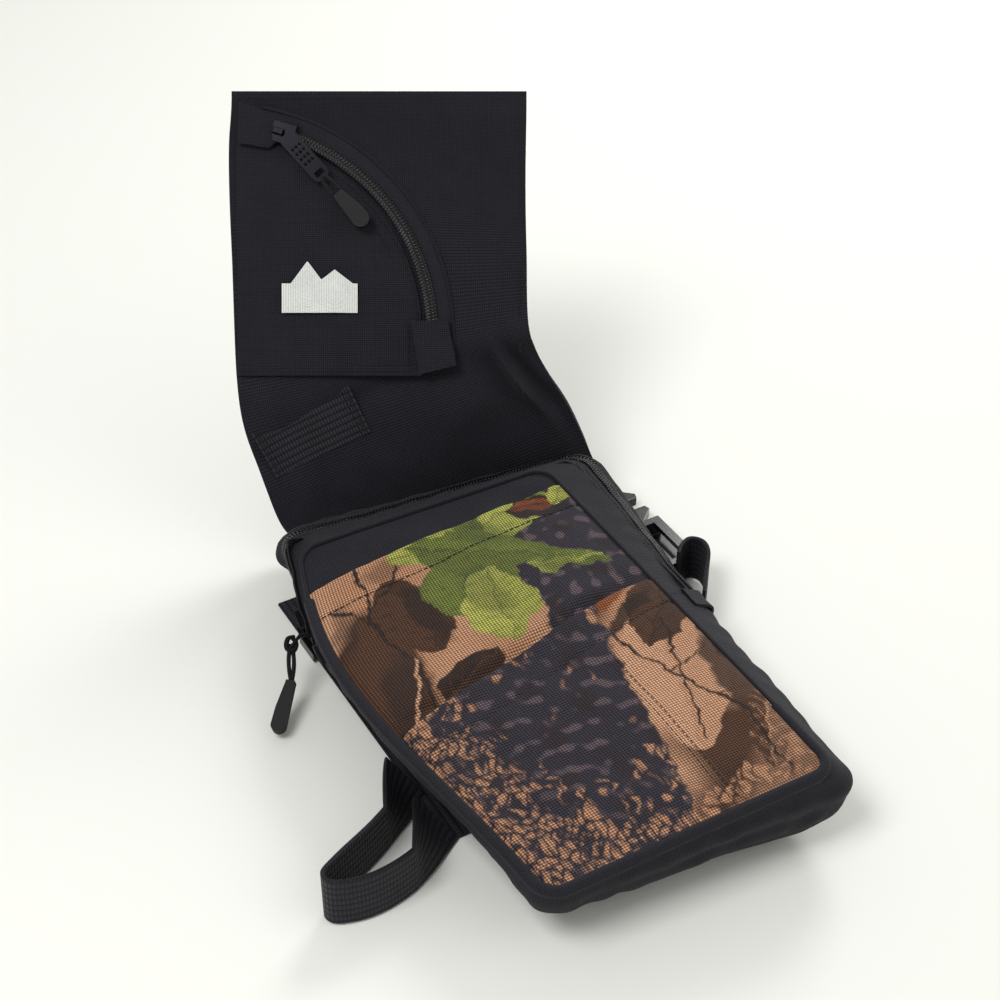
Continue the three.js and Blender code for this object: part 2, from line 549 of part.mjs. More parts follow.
const RUN_LEFT = -TUCK_END + 1;         // the strap lies flat under the slack left side
const RUN_BOTTOM = -38;
const HANK_Y = HALF_H - 8;                     // spare strap, folded under the lifted top of the back
const HANK_LEFT = RUN_LEFT + WEBBING_WIDTH + 1;
const HANK_LENGTH = BODY_WIDTH - 36;
const KEEPER = 0.8;
const BUCKLE_WIDTH = 36;
const MALE_X = HANK_LEFT + HANK_LENGTH + 14;
const MALE_Y = HANK_Y - 0.5;
const PRONG_LENGTH = 38;
const FEMALE_X = MALE_X + 28;
const FEMALE_Y = MALE_Y - 34;
const FEMALE_LENGTH = 23;
const FEMALE_WIDTH = 34;
const FEMALE_HEIGHT = 10;

function buildStrap() {
  const loop = [[0, -15.5], [7.5, -20.5], [19.5, -27.5], [34.5, -35], [50.5, -41.5], [58, -46],
    [55.5, -52], [43.5, -56], [27.5, -54.5], [13.5, -49], [0, -40.5]].map(([out, y]) => [-TUCK_END - out, y]);
  piece('strap_loop', standingWebbing(loop, 48), 'webbing', bag);
  const runTop = HANK_Y + WEBBING_WIDTH;
  piece('strap_run',
    boxAt(RUN_LEFT + GAP, RUN_BOTTOM, 0, WEBBING_WIDTH, runTop - RUN_BOTTOM, WEBBING), 'webbing', bag);
  const spare = slump(HANK_LEFT, HANK_Y - 40, 0).z;       // room under the lifted back there
  const hankHeight = spare - 2 * KEEPER - 4 * GAP;
  piece('strap_hank',
    boxAt(HANK_LEFT, HANK_Y, KEEPER + GAP, HANK_LENGTH, WEBBING_WIDTH, hankHeight), 'webbing', bag);
  const hollow = boxAt(-1, HANK_Y - GAP, KEEPER, 12, WEBBING_WIDTH + 2 * GAP, hankHeight + 2 * GAP);
  const around = boxAt(0, HANK_Y - GAP - KEEPER, 0, 10, WEBBING_WIDTH + 2 * (GAP + KEEPER),
    hankHeight + 2 * (GAP + KEEPER));
  piece('strap_keeper', cut(around, hollow), 'webbing', bag);
  const adjusterY = HANK_Y - 17;
  const lip = 1.5;
  const adjuster = cut(
    boxAt(RUN_LEFT - lip, adjusterY, GAP, WEBBING_WIDTH + 2 * (lip + GAP), 15, 4.4),
    boxAt(RUN_LEFT, adjusterY - 1, 0, WEBBING_WIDTH + 2 * GAP, 17, WEBBING + GAP));
  piece('strap_adjuster', adjuster, 'acetal', bag);
}

function buildSideLoop() {
  const route = [[0.5, -52.5], [9, -42.5], [18, -31.5], [20.5, -23.5], [16.5, -18.5], [10.5, -20], [5.5, -24.5]]
    .map(([x, y]) => [FEMALE_X + x, FEMALE_Y + y]);
  piece('side_loop', standingWebbing(route, 24), 'webbing', bag);
}

function buildBuckle() {
  const endX = HANK_LEFT + HANK_LENGTH + GAP;
  piece('strap_end',
    boxAt(endX, MALE_Y - WEBBING_WIDTH / 2, 3, MALE_X - endX - GAP, WEBBING_WIDTH, WEBBING), 'webbing', bag);
  const base = boxAt(MALE_X, MALE_Y - BUCKLE_WIDTH / 2, 0.5, 16, BUCKLE_WIDTH, 7);
  const slot = boxAt(MALE_X + 4, MALE_Y - WEBBING_WIDTH / 2 - 0.5, 0, 3.4, WEBBING_WIDTH + 1, 8);
  piece('buckle_male', cut(base, slot), 'acetal', bag);
  const rootX = MALE_X + 16 + GAP;
  const tipX = rootX + PRONG_LENGTH;
  for (const side of [1, -1]) {
    const edge = [[rootX, 6], [rootX, 10], [tipX - 9, 8], [tipX - 12, 13.5], [tipX - 9, 13.5],
      [tipX - 1, 6.5], [tipX - 2, 3.5], [tipX - 12, 3.5]];
    const points = edge.map(([x, y]) => [x, MALE_Y + side * y]);
    const name = side > 0 ? 'buckle_prong_upper' : 'buckle_prong_lower';
    piece(name, plate(outline(points), 1.5, 5), 'acetal', bag);
  }
  const shell = boxAt(FEMALE_X, FEMALE_Y - FEMALE_WIDTH / 2, 0.5, FEMALE_LENGTH, FEMALE_WIDTH, FEMALE_HEIGHT);
  const window = boxAt(FEMALE_X + 10, FEMALE_Y - 13, 0, 8, 26, 12);
  const mouth = boxAt(FEMALE_X + 16, FEMALE_Y - 13, 2.7, 12, 26, 5.6);
  const bar = boxAt(FEMALE_X + 3, FEMALE_Y - 13, 0, 4.5, 26, 12);
  piece('buckle_female', cut(shell, window, mouth, bar), 'acetal', bag);
}

buildPanels();
buildGusset();
buildWelt();
buildPockets();
buildMainPull();
buildFlapRoot();
buildFlapPanel();
buildFlapPull();
buildStrap();
buildSideLoop();
buildBuckle();

export default bag;
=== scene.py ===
"""A sling bag lying open on its back, its flap folded up behind it.

The pouch, its pockets, zips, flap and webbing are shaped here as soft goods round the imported
frame. Lengths are in millimetres until they are written to a mesh, which is in metres.
"""

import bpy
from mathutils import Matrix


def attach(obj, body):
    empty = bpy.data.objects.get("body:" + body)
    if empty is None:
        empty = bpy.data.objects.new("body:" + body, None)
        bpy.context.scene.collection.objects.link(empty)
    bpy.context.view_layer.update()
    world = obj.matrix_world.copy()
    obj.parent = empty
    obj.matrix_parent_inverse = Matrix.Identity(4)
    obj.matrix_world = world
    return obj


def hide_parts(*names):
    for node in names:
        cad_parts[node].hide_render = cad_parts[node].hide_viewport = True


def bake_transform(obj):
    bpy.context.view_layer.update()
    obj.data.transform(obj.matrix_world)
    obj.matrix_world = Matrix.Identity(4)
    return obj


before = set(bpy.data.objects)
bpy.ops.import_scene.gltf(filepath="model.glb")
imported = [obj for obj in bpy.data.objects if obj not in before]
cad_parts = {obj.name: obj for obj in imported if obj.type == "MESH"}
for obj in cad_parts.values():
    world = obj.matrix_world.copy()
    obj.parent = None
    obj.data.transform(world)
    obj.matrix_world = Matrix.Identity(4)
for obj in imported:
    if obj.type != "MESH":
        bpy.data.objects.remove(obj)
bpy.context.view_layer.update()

import logging
import math
import random
from dataclasses import dataclass, field
from enum import Enum
from typing import Callable, Optional, Sequence

import bpy
import numpy as np
from mathutils import Matrix

LOG = logging.getLogger("sling_bag")
MM = 0.001
Array = np.ndarray
Place = Callable[[Array, Array], Array]
SOFT_ANGLE = 60.0                    # cloth shades smooth over edges gentler than this, in degrees
ROUND_ANGLE = 50.0                   # the same for tapes, cords and stitches
STITCH = 3.0                         # spacing of the stitches
THREAD = 0.3                         # half thickness of the sewing thread
FINE_THREAD = 0.28
MATH = "ShaderNodeMath"
NOISE = "ShaderNodeTexNoise"
MIX = "ShaderNodeMix"


class Finish(Enum):
    """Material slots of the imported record."""

    CLOTH = "pack_cloth"
    LINING = "lining_cloth"
    PRINT = "printed_cloth"
    WEBBING = "webbing"
    FOAM = "foam"
    COIL = "zip_coil"
    METAL = "black_metal"
    ACETAL = "black_acetal"
    GRIP = "soft_grip"


class Body(Enum):
    """Bodies of the frame that pieces ride on."""

    BAG = "bag"
    FLAP_BASE = "flap_base"
    FLAP = "flap"
    MAIN_PULL = "main_zip_pull"
    TAB = "flap_zip_tab"


# ---- mesh helpers --------------------------------------------------------------------------------


def deselect() -> None:
    """Leaves nothing selected, so that an operator acts only on a new piece."""
    bpy.ops.object.select_all(action="DESELECT")


def pick(obj: bpy.types.Object) -> None:
    """Selects a piece alone and makes it the active one."""
    deselect()
    obj.select_set(True)
    bpy.context.view_layer.objects.active = obj


def read_points(obj: bpy.types.Object) -> Array:
    """Returns a mesh's points as an (N, 3) array in its own units."""
    flat = np.empty(len(obj.data.vertices) * 3)
    obj.data.vertices.foreach_get("co", flat)
    return flat.reshape(-1, 3)


def write_points(obj: bpy.types.Object, points: Array) -> None:
    """Writes an (N, 3) array of points to a mesh."""
    obj.data.vertices.foreach_set("co", np.asarray(points, dtype=float).ravel())
    obj.data.update()


def set_vector(obj: bpy.types.Object, name: str, values: Array) -> None:
    """Stores one vector on each point, for a material to read."""
    layer = obj.data.attributes.new(name, "FLOAT_VECTOR", "POINT")
    layer.data.foreach_set("vector", np.asarray(values, dtype=float).ravel())


def apply_modifier(obj: bpy.types.Object, kind: str, **settings: object) -> None:
    """Adds a modifier with its settings and applies it."""
    modifier = obj.modifiers.new(kind.lower(), kind)
    for key, value in settings.items():
        setattr(modifier, key, value)
    pick(obj)
    bpy.ops.object.modifier_apply(modifier=modifier.name)


def smooth(obj: bpy.types.Object, angle: float) -> None:
    """Shades a piece smooth, apart from edges sharper than an angle in degrees."""
    pick(obj)
    bpy.ops.object.shade_smooth_by_angle(angle=math.radians(angle))


def cloth_sheet(
    name: str, columns: int, rows: int, place: Place, cloth: Place, thickness: float, offset: float = -1.0
) -> bpy.types.Object:
    """Makes a sheet of cloth from a fine grid.

    Args:
        name: the piece's name.
        columns: cells along the first direction.
        rows: cells along the second direction.
        place: takes the two shares, 0 to 1, to points in millimetres.
        cloth: takes the two shares to millimetres in the weave's own plane.
        thickness: of the cloth, in millimetres.
        offset: -1 to grow away from the outer face, 1 to grow out of it.

    Returns:
        The finished sheet.
    """
    deselect()
    bpy.ops.mesh.primitive_grid_add(x_subdivisions=columns, y_subdivisions=rows, size=1.0)
    obj = bpy.context.object
    obj.name = obj.data.name = name
    shares = read_points(obj)[:, :2] + 0.5
    write_points(obj, place(shares[:, 0], shares[:, 1]) * MM)
    set_vector(obj, "cloth_mm", cloth(shares[:, 0], shares[:, 1]))
    if thickness:
        apply_modifier(obj, "SOLIDIFY", thickness=thickness * MM, offset=offset, use_even_offset=False)
    smooth(obj, SOFT_ANGLE)
    return obj


def stack(x: Array, y: Array, z: Array) -> Array:
    """Joins three coordinate arrays as an (N, 3) array."""
    return np.stack(np.broadcast_arrays(x, y, z), axis=-1).astype(float)


def flat_plane(width: float, height: float) -> Place:
    """Returns the weave's own plane for a sheet of a width and a height."""
    return lambda u, v: stack(u * width, v * height, 0.0)


def unit(vectors: Array) -> Array:
    """Scales vectors to length one."""
    return vectors / np.maximum(np.linalg.norm(vectors, axis=-1, keepdims=True), 1e-9)


def spline(knots: Sequence[float], values: Array, at: Array) -> Array:
    """Smooth curve through values at knots.

    Args:
        knots: rising positions of the values.
        values: (K, ...) array of what the curve passes through.
        at: positions to read.

    Returns:
        One value for each position.
    """
    t, v = np.asarray(knots, float), np.asarray(values, float)
    slope = np.gradient(v, t, axis=0)
    i = np.clip(np.searchsorted(t, at, side="right") - 1, 0, len(t) - 2)
    h = t[i + 1] - t[i]
    f = np.clip((at - t[i]) / h, 0.0, 1.0)
    shape = (-1,) + (1,) * (v.ndim - 1)
    f, h = f.reshape(shape), h.reshape(shape)
    return (
        (2 * f**3 - 3 * f**2 + 1) * v[i] + (f**3 - 2 * f**2 + f) * h * slope[i]
        + (-2 * f**3 + 3 * f**2) * v[i + 1] + (f**3 - f**2) * h * slope[i + 1]
    )


def ripple(x: Array, y: Array, length: float, seed: int, waves: int = 7) -> Array:
    """Soft uneven waves of about a given length in millimetres, from -1 to 1 or a little past it."""
    chance = random.Random(seed)
    total = np.zeros_like(x, dtype=float)
    for _ in range(waves):
        way, phase = chance.uniform(0, math.tau), chance.uniform(0, math.tau)
        k = math.tau / (length * chance.uniform(0.7, 1.6))
        total += np.sin(k * (x * math.cos(way) + y * math.sin(way)) + phase)
    return total / math.sqrt(waves * 2)


def bump(x: Array, middle: float, width: float) -> Array:
    """Bell shape of height one about a middle."""
    return np.exp(-(((x - middle) / width) ** 2))


def ramp(x: Array, low: float, high: float) -> Array:
    """Rises smoothly from 0 at low to 1 at high."""
    t = np.clip((x - low) / (high - low), 0, 1)
    return t * t * (3 - 2 * t)


@dataclass
class Path:
    """A line in space with the direction that faces out at each point."""

    points: Array
    out: Array

    @classmethod
    def facing(cls, points: Array, out: Sequence[float]) -> "Path":
        """Returns a path that faces one direction all along."""
        return cls(points, np.tile(out, (len(points), 1)))

    def resample(self, step: float) -> "Path":
        """Returns the path with its points a step apart, in millimetres."""
        gaps = np.linalg.norm(np.diff(self.points, axis=0), axis=1)
        along = np.concatenate([[0], np.cumsum(gaps)])
        count = max(2, int(round(along[-1] / step)) + 1)
        at = np.linspace(0, along[-1], count)
        points = np.stack([np.interp(at, along, self.points[:, i]) for i in range(3)], axis=1)
        out = unit(np.stack([np.interp(at, along, self.out[:, i]) for i in range(3)], axis=1))
        return Path(points, out)

    def frames(self) -> tuple[Array, Array, Array]:
        """Returns the way, side and out directions at each point."""
        way = unit(np.gradient(self.points, axis=0))
        side = unit(np.cross(way, self.out))
        return way, side, unit(np.cross(side, way))


def closed_piece(name: str, points: Array, faces: Sequence[tuple[int, ...]]) -> bpy.types.Object:
    """Makes a closed piece from (N, 3) points in millimetres, its faces turned out and shaded smooth."""
    mesh = bpy.data.meshes.new(name)
    mesh.from_pydata((points * MM).tolist(), [], faces)
    obj = bpy.data.objects.new(name, mesh)
    bpy.context.scene.collection.objects.link(obj)
    pick(obj)
    bpy.ops.object.mode_set(mode="EDIT")
    bpy.ops.mesh.select_all(action="SELECT")
    bpy.ops.mesh.normals_make_consistent(inside=False)
    bpy.ops.object.mode_set(mode="OBJECT")
    smooth(obj, ROUND_ANGLE)
    return obj


def sweep(
    name: str, path: Path, section: Array, closed: bool = False, steps: float = 1.0
) -> bpy.types.Object:
    """Draws a closed section along a path, as a tape, piping or cord.

    Args:
        name: the piece's name.
        path: where it runs.
        section: (M, 2) outline in millimetres, side and out, anticlockwise seen along the path.
        closed: whether the path's end meets its start.
        steps: spacing of the rings in millimetres.

    Returns:
        The finished piece.
    """
    line = path.resample(steps)
    _, side, out = line.frames()
    if closed:
        line.points, side, out = line.points[:-1], side[:-1], out[:-1]
    rings, count = len(line.points), len(section)
    points = (
        line.points[:, None] + side[:, None] * section[None, :, :1] + out[:, None] * section[None, :, 1:]
    ).reshape(-1, 3)
    faces = []
    for i in range(rings if closed else rings - 1):
        for j in range(count):
            a, b = i * count + j, i * count + (j + 1) % count
            c = ((i + 1) % rings) * count
            faces.append((a, b, c + (j + 1) % count, c + j))
    if not closed:
        faces.append(tuple(reversed(range(count))))
        faces.append(tuple(range((rings - 1) * count, rings * count)))
    obj = closed_piece(name, points, faces)
    edges = np.linalg.norm(np.roll(section, -1, axis=0) - section, axis=1)
    around = np.concatenate([[0], np.cumsum(edges)[:-1]])
    along = np.arange(rings) * steps
    set_vector(obj, "cloth_mm", stack(np.repeat(along, count), np.tile(around, rings), 0.0))
    return obj


def oval(half_side: float, half_out: float, count: int = 12, lift: float = 0.0) -> Array:
    """Outline of an oval section, its middle lifted out by a distance."""
    angle = np.linspace(0, math.tau, count, endpoint=False)
    return np.stack([half_side * np.cos(angle), half_out * np.sin(angle) + lift], axis=1)


def tape_section(half_side: float, thickness: float, lift: float = 0.0) -> Array:
    """Outline of a flat tape with softened edges."""
    t = thickness / 2
    s = half_side
    soft = s - t * 0.6
    return np.array([
        [-s, 0], [-soft, -t], [0, -t], [soft, -t], [s, 0], [soft, t], [0, t], [-soft, t],
    ]) + [0, lift + t]


class SeedShape(Enum):
    """Small shapes that repeat along a path."""

    STITCH = "stitch"
    COIL = "coil"


def seed_mesh(kind: SeedShape) -> tuple[Array, list[tuple[int, ...]]]:
    """Returns a small closed shape of unit length: x along, y aside, z out."""
    rings = {
        SeedShape.STITCH: [(-0.5, 0.3, -0.6), (-0.36, 0.85, 0.0), (0.36, 0.85, 0.0), (0.5, 0.3, -0.6)],
        SeedShape.COIL: [(-0.5, 0.55, -0.1), (-0.42, 0.9, 0.0), (0.42, 0.9, 0.0), (0.5, 0.55, -0.1)],
    }[kind]
    sides = 6
    points, faces = [], []
    for x, radius, drop in rings:
        for j in range(sides):
            angle = math.tau * j / sides
            points.append((x, radius * math.cos(angle), radius * math.sin(angle) + drop))
    for i in range(len(rings) - 1):
        for j in range(sides):
            a, b = i * sides + j, i * sides + (j + 1) % sides
            faces.append((a, a + sides, b + sides, b))
    faces.append(tuple(range(sides)))
    faces.append(tuple(reversed(range((len(rings) - 1) * sides, len(rings) * sides))))
    return np.array(points), faces


def repeat(
    name: str, kind: SeedShape, middles: Array, along: Array, out: Array, size: Sequence[float]
) -> bpy.types.Object:
    """Copies one small shape to many places as a single piece.

    Args:
        name: the piece's name.
        kind: the small shape.
        middles: (N, 3) places in millimetres.
        along: (N, 3) directions of the shape's length.
        out: (N, 3) directions that face out.
        size: length, half width and half height in millimetres.

    Returns:
        The finished piece.
    """
    shape, faces = seed_mesh(kind)
    shape = shape * np.array(size)
    side = unit(np.cross(out, along))
    points = (
        middles[:, None] + along[:, None] * shape[None, :, :1]
        + side[:, None] * shape[None, :, 1:2] + out[:, None] * shape[None, :, 2:]
    ).reshape(-1, 3)
    every = [tuple(i * len(shape) + k for k in face) for i in range(len(middles)) for face in faces]
    return closed_piece(name, points, every)


def stitch_row(name: str, path: Path, pitch: float = STITCH, thread: float = THREAD) -> bpy.types.Object:
    """Sews a row of lockstitches along a path."""
    line = path.resample(pitch)
    way, _, out = line.frames()
    middles = (line.points[:-1] + line.points[1:]) / 2
    size = (pitch * 0.8, thread, thread)
    return repeat(name, SeedShape.STITCH, middles, unit(way[:-1] + way[1:]), out[:-1], size)


def join(name: str, parts: Sequence[bpy.types.Object]) -> bpy.types.Object:
    """Joins pieces of one finish as one piece."""
    deselect()
    for part in parts:
        part.select_set(True)
    bpy.context.view_layer.objects.active = parts[0]
    bpy.ops.object.join()
    parts[0].name = parts[0].data.name = name
    return parts[0]


# ---- finishes ------------------------------------------------------------------------------------


def linear(code: str) -> tuple[float, float, float, float]:
    """Turns an sRGB hex colour to linear values."""
    parts = [int(code[i:i + 2], 16) / 255 for i in (1, 3, 5)]
    return (*[c / 12.92 if c <= 0.04045 else ((c + 0.055) / 1.055) ** 2.4 for c in parts], 1.0)


def add_node(
    tree: bpy.types.NodeTree, kind: str, inputs: Optional[dict] = None, **settings: object
) -> bpy.types.Node:
    """Adds a node, with its settings, and links or sets its inputs.

    Args:
        tree: the material's node tree.
        kind: the node's type.
        inputs: input names or numbers, each with a socket to link or a value.
        settings: the node's own properties.

    Returns:
        The node.
    """
    made = tree.nodes.new(kind)
    for key, value in settings.items():
        setattr(made, key, value)
    for key, value in (inputs or {}).items():
        if isinstance(value, bpy.types.NodeSocket):
            tree.links.new(value, made.inputs[key])
        else:
            made.inputs[key].default_value = value
    return made


def blank(name: str) -> tuple[bpy.types.Material, bpy.types.NodeTree, bpy.types.Node]:
    """Returns a new material with its node tree and shader."""
    material = bpy.data.materials.new(name)
    material.use_nodes = True
    tree = material.node_tree
    return material, tree, tree.nodes["Principled BSDF"]


@dataclass(frozen=True)
class Woven:
    """Plain-weave polyester or webbing: rows of threads, their crowns painted lighter as if they caught a
    soft light.
    """

    name: str
    dark: str
    light: str
    thread: float                # spacing of the threads drawn, in millimetres
    cross: float                 # spacing the other way
    relief: float                # depth of the weave, in millimetres
    rough: float = 0.72
    sheen: float = 0.25
    slant: float = 0.0           # how far each row steps aside, for herringbone and twill
    printed: bool = False        # takes its colour from the print

    def build(self) -> bpy.types.Material:
        """Returns the material."""
        material, tree, shader = blank(self.name)
        cloth = add_node(tree, "ShaderNodeAttribute", attribute_name="cloth_mm").outputs["Vector"]
        split = add_node(tree, "ShaderNodeSeparateXYZ", {0: cloth})
        u, v = split.outputs[0], split.outputs[1]
        if self.slant:
            zigzag = add_node(tree, MATH, {0: v, 1: self.slant}, operation="PINGPONG").outputs[0]
            u = add_node(tree, MATH, {0: u, 1: zigzag}, operation="ADD").outputs[0]
        turn = add_node(tree, MATH, {0: u, 1: math.pi / self.thread}, operation="MULTIPLY").outputs[0]
        height = add_node(tree, MATH, {0: turn}, operation="SINE").outputs[0]
        if not self.slant:
            turn = add_node(tree, MATH, {0: v, 1: math.pi / self.cross}, operation="MULTIPLY").outputs[0]
            weft = add_node(tree, MATH, {0: turn}, operation="SINE").outputs[0]
            height = add_node(tree, MATH, {0: height, 1: weft}, operation="MULTIPLY").outputs[0]
        height = add_node(tree, MATH, {0: height}, operation="ABSOLUTE").outputs[0]
        uneven = add_node(tree, NOISE, {"Vector": cloth, "Scale": 0.09, "Detail": 4.0}).outputs["Fac"]
        fleck = add_node(tree, NOISE, {"Vector": cloth, "Scale": 0.9, "Detail": 2.0}).outputs["Fac"]
        fleck = add_node(tree, MATH, {0: fleck, 1: 0.35}, operation="ADD").outputs[0]
        # painted light and shade: the weave's crowns are coloured lighter and its hollows darker, with random
        # flecks
        shade = add_node(tree, MATH, {0: height, 1: fleck}, operation="MULTIPLY").outputs[0]
        if self.printed:
            ink = add_node(tree, "ShaderNodeAttribute", attribute_name="print").outputs["Color"]
            # painted shade: the print's ink is darkened in the weave's hollows
            shaded_ink = add_node(tree, MIX, {"Factor": 1.0, 6: ink, 7: linear("#57494b")},
                            data_type="RGBA", blend_type="MULTIPLY").outputs[2]
            shade = add_node(tree, MATH, {0: shade, 1: 1.5}, operation="MULTIPLY", use_clamp=True).outputs[0]
            colours = {"Factor": shade, 6: shaded_ink, 7: ink}
        else:
            level = add_node(tree, MATH, {0: uneven, 1: 0.25, 2: shade}, operation="MULTIPLY_ADD").outputs[0]
            colours = {"Factor": level, 6: linear(self.dark), 7: linear(self.light)}
        colour = add_node(tree, MIX, colours, data_type="RGBA").outputs[2]
        tree.links.new(colour, shader.inputs["Base Color"])
        relief = add_node(tree, "ShaderNodeBump",
                          {"Height": height, "Distance": self.relief * MM, "Strength": 1.0})
        tree.links.new(relief.outputs[0], shader.inputs["Normal"])
        shader.inputs["Roughness"].default_value = self.rough
        shader.inputs["Sheen Weight"].default_value = self.sheen
        shader.inputs["Sheen Roughness"].default_value = 0.5
        shader.inputs["Specular IOR Level"].default_value = 0.16
        return material


@dataclass(frozen=True)
class Moulded:
    """Moulded plastic, rubber or enamelled metal: fine grain from the mould or the coating."""

    name: str
    colour: str
    worn: str
    rough: float
    grain: float                 # size of the grain in millimetres
    relief: float
    metallic: float = 0.0
    gloss: float = 0.25          # how strongly the surface reflects, for pieces that aren't metal

    def build(self) -> bpy.types.Material:
        """Returns the material."""
        material, tree, shader = blank(self.name)
        place = add_node(tree, "ShaderNodeTexCoord").outputs["Object"]
        grain = add_node(tree, NOISE, {"Vector": place, "Scale": 1 / (self.grain * MM), "Detail": 3.0})
        colours = {"Factor": grain.outputs["Fac"], 6: linear(self.colour), 7: linear(self.worn)}
        colour = add_node(tree, MIX, colours, data_type="RGBA").outputs[2]
        tree.links.new(colour, shader.inputs["Base Color"])
        relief = add_node(tree, "ShaderNodeBump",
                          {"Height": grain.outputs["Fac"], "Distance": self.relief * MM, "Strength": 1.0})
        tree.links.new(relief.outputs[0], shader.inputs["Normal"])
        shader.inputs["Roughness"].default_value = self.rough
        shader.inputs["Metallic"].default_value = self.metallic
        if not self.metallic:
            shader.inputs["Specular IOR Level"].default_value = self.gloss
        return material


class Wardrobe:
    """All the finishes of the bag, each made once."""

    def __init__(self) -> None:
        """Builds the materials."""
        # Coated 600 denier polyester. Its threads are half a millimetre apart, drawn at twice that to show.
        self.cloth = Woven("polyester_plain_weave", "#030304", "#24242e", 1.0, 1.0, 0.22,
                           rough=0.75, sheen=0.04).build()
        self.lining = Woven("nylon_taffeta", "#08080a", "#16161b", 0.8, 0.8, 0.08, sheen=0.04).build()
        self.print = Woven("polyester_oxford_print", "#000000", "#ffffff", 1.15, 1.15, 0.2,
                           sheen=0.03, printed=True).build()
        self.webbing = Woven("polypropylene_ribbed_webbing", "#030304", "#2a2a33", 1.5, 3.2, 0.45,
                             rough=0.55, sheen=0.03).build()
        self.tape = Woven("polyester_herringbone_tape", "#050507", "#22222a", 1.1, 1.1, 0.2,
                          sheen=0.04, slant=2.2).build()
        self.cord = Woven("braided_polyester_cord", "#040405", "#1c1c22", 0.8, 0.8, 0.15, sheen=0.05).build()
        self.thread = Moulded("bonded_nylon_thread", "#050506", "#121217", 0.6, 0.5, 0.02).build()
        self.coil = Moulded("nylon_zip_coil", "#050506", "#101014", 0.22, 1.0, 0.01, gloss=0.4).build()
        self.metal = Moulded("black_plated_zinc", "#101013", "#1e1e22", 0.25, 0.6, 0.01, metallic=1.0).build()
        self.acetal = Moulded("moulded_acetal", "#050506", "#0c0c0f", 0.2, 0.8, 0.01, gloss=0.4).build()
        self.grip = Moulded("soft_vinyl_grip", "#060608", "#0e0e12", 0.6, 0.5, 0.03).build()
        self.foam = Moulded("closed_cell_foam", "#2a2a2e", "#3a3a40", 0.9, 1.5, 0.1).build()
        self.badge = Woven("woven_white_badge", "#8f9290", "#f4f5f2", 0.8, 0.8, 0.06).build()

    def by_slot(self) -> dict[str, bpy.types.Material]:
        """Returns the finish of each material slot, for the frame's own nodes."""
        return {
            Finish.CLOTH.value: self.cloth, Finish.LINING.value: self.lining, Finish.PRINT.value: self.print,
            Finish.WEBBING.value: self.webbing, Finish.FOAM.value: self.foam, Finish.COIL.value: self.coil,
            Finish.METAL.value: self.metal, Finish.ACETAL.value: self.acetal, Finish.GRIP.value: self.grip,
        }


def dress(
    obj: bpy.types.Object, material: bpy.types.Material, body: Optional[Body] = Body.BAG,
    replaces: Sequence[str] = (),
) -> bpy.types.Object:
    """Gives a piece its material, slot and body, and hides the frame nodes it stands for."""
    obj.data.materials.clear()
    obj.data.materials.append(material)
    if body is not None:
        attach(obj, body.value)
    if replaces:
        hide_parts(*replaces)
    LOG.info("%s: %d faces", obj.name, len(obj.data.polygons))
    return obj


def sew(
    name: str, paths: Sequence[Path], thread: bpy.types.Material, body: Optional[Body] = Body.BAG,
    pitch: float = STITCH, width: float = THREAD,
) -> bpy.types.Object:
    """Sews a row of lockstitches along each of two or more paths, and dresses them as one piece."""
    return dress(join(name, [stitch_row("row", path, pitch, width) for path in paths]), thread, body)


# ---- the pouch's shape ---------------------------------------------------------------------------


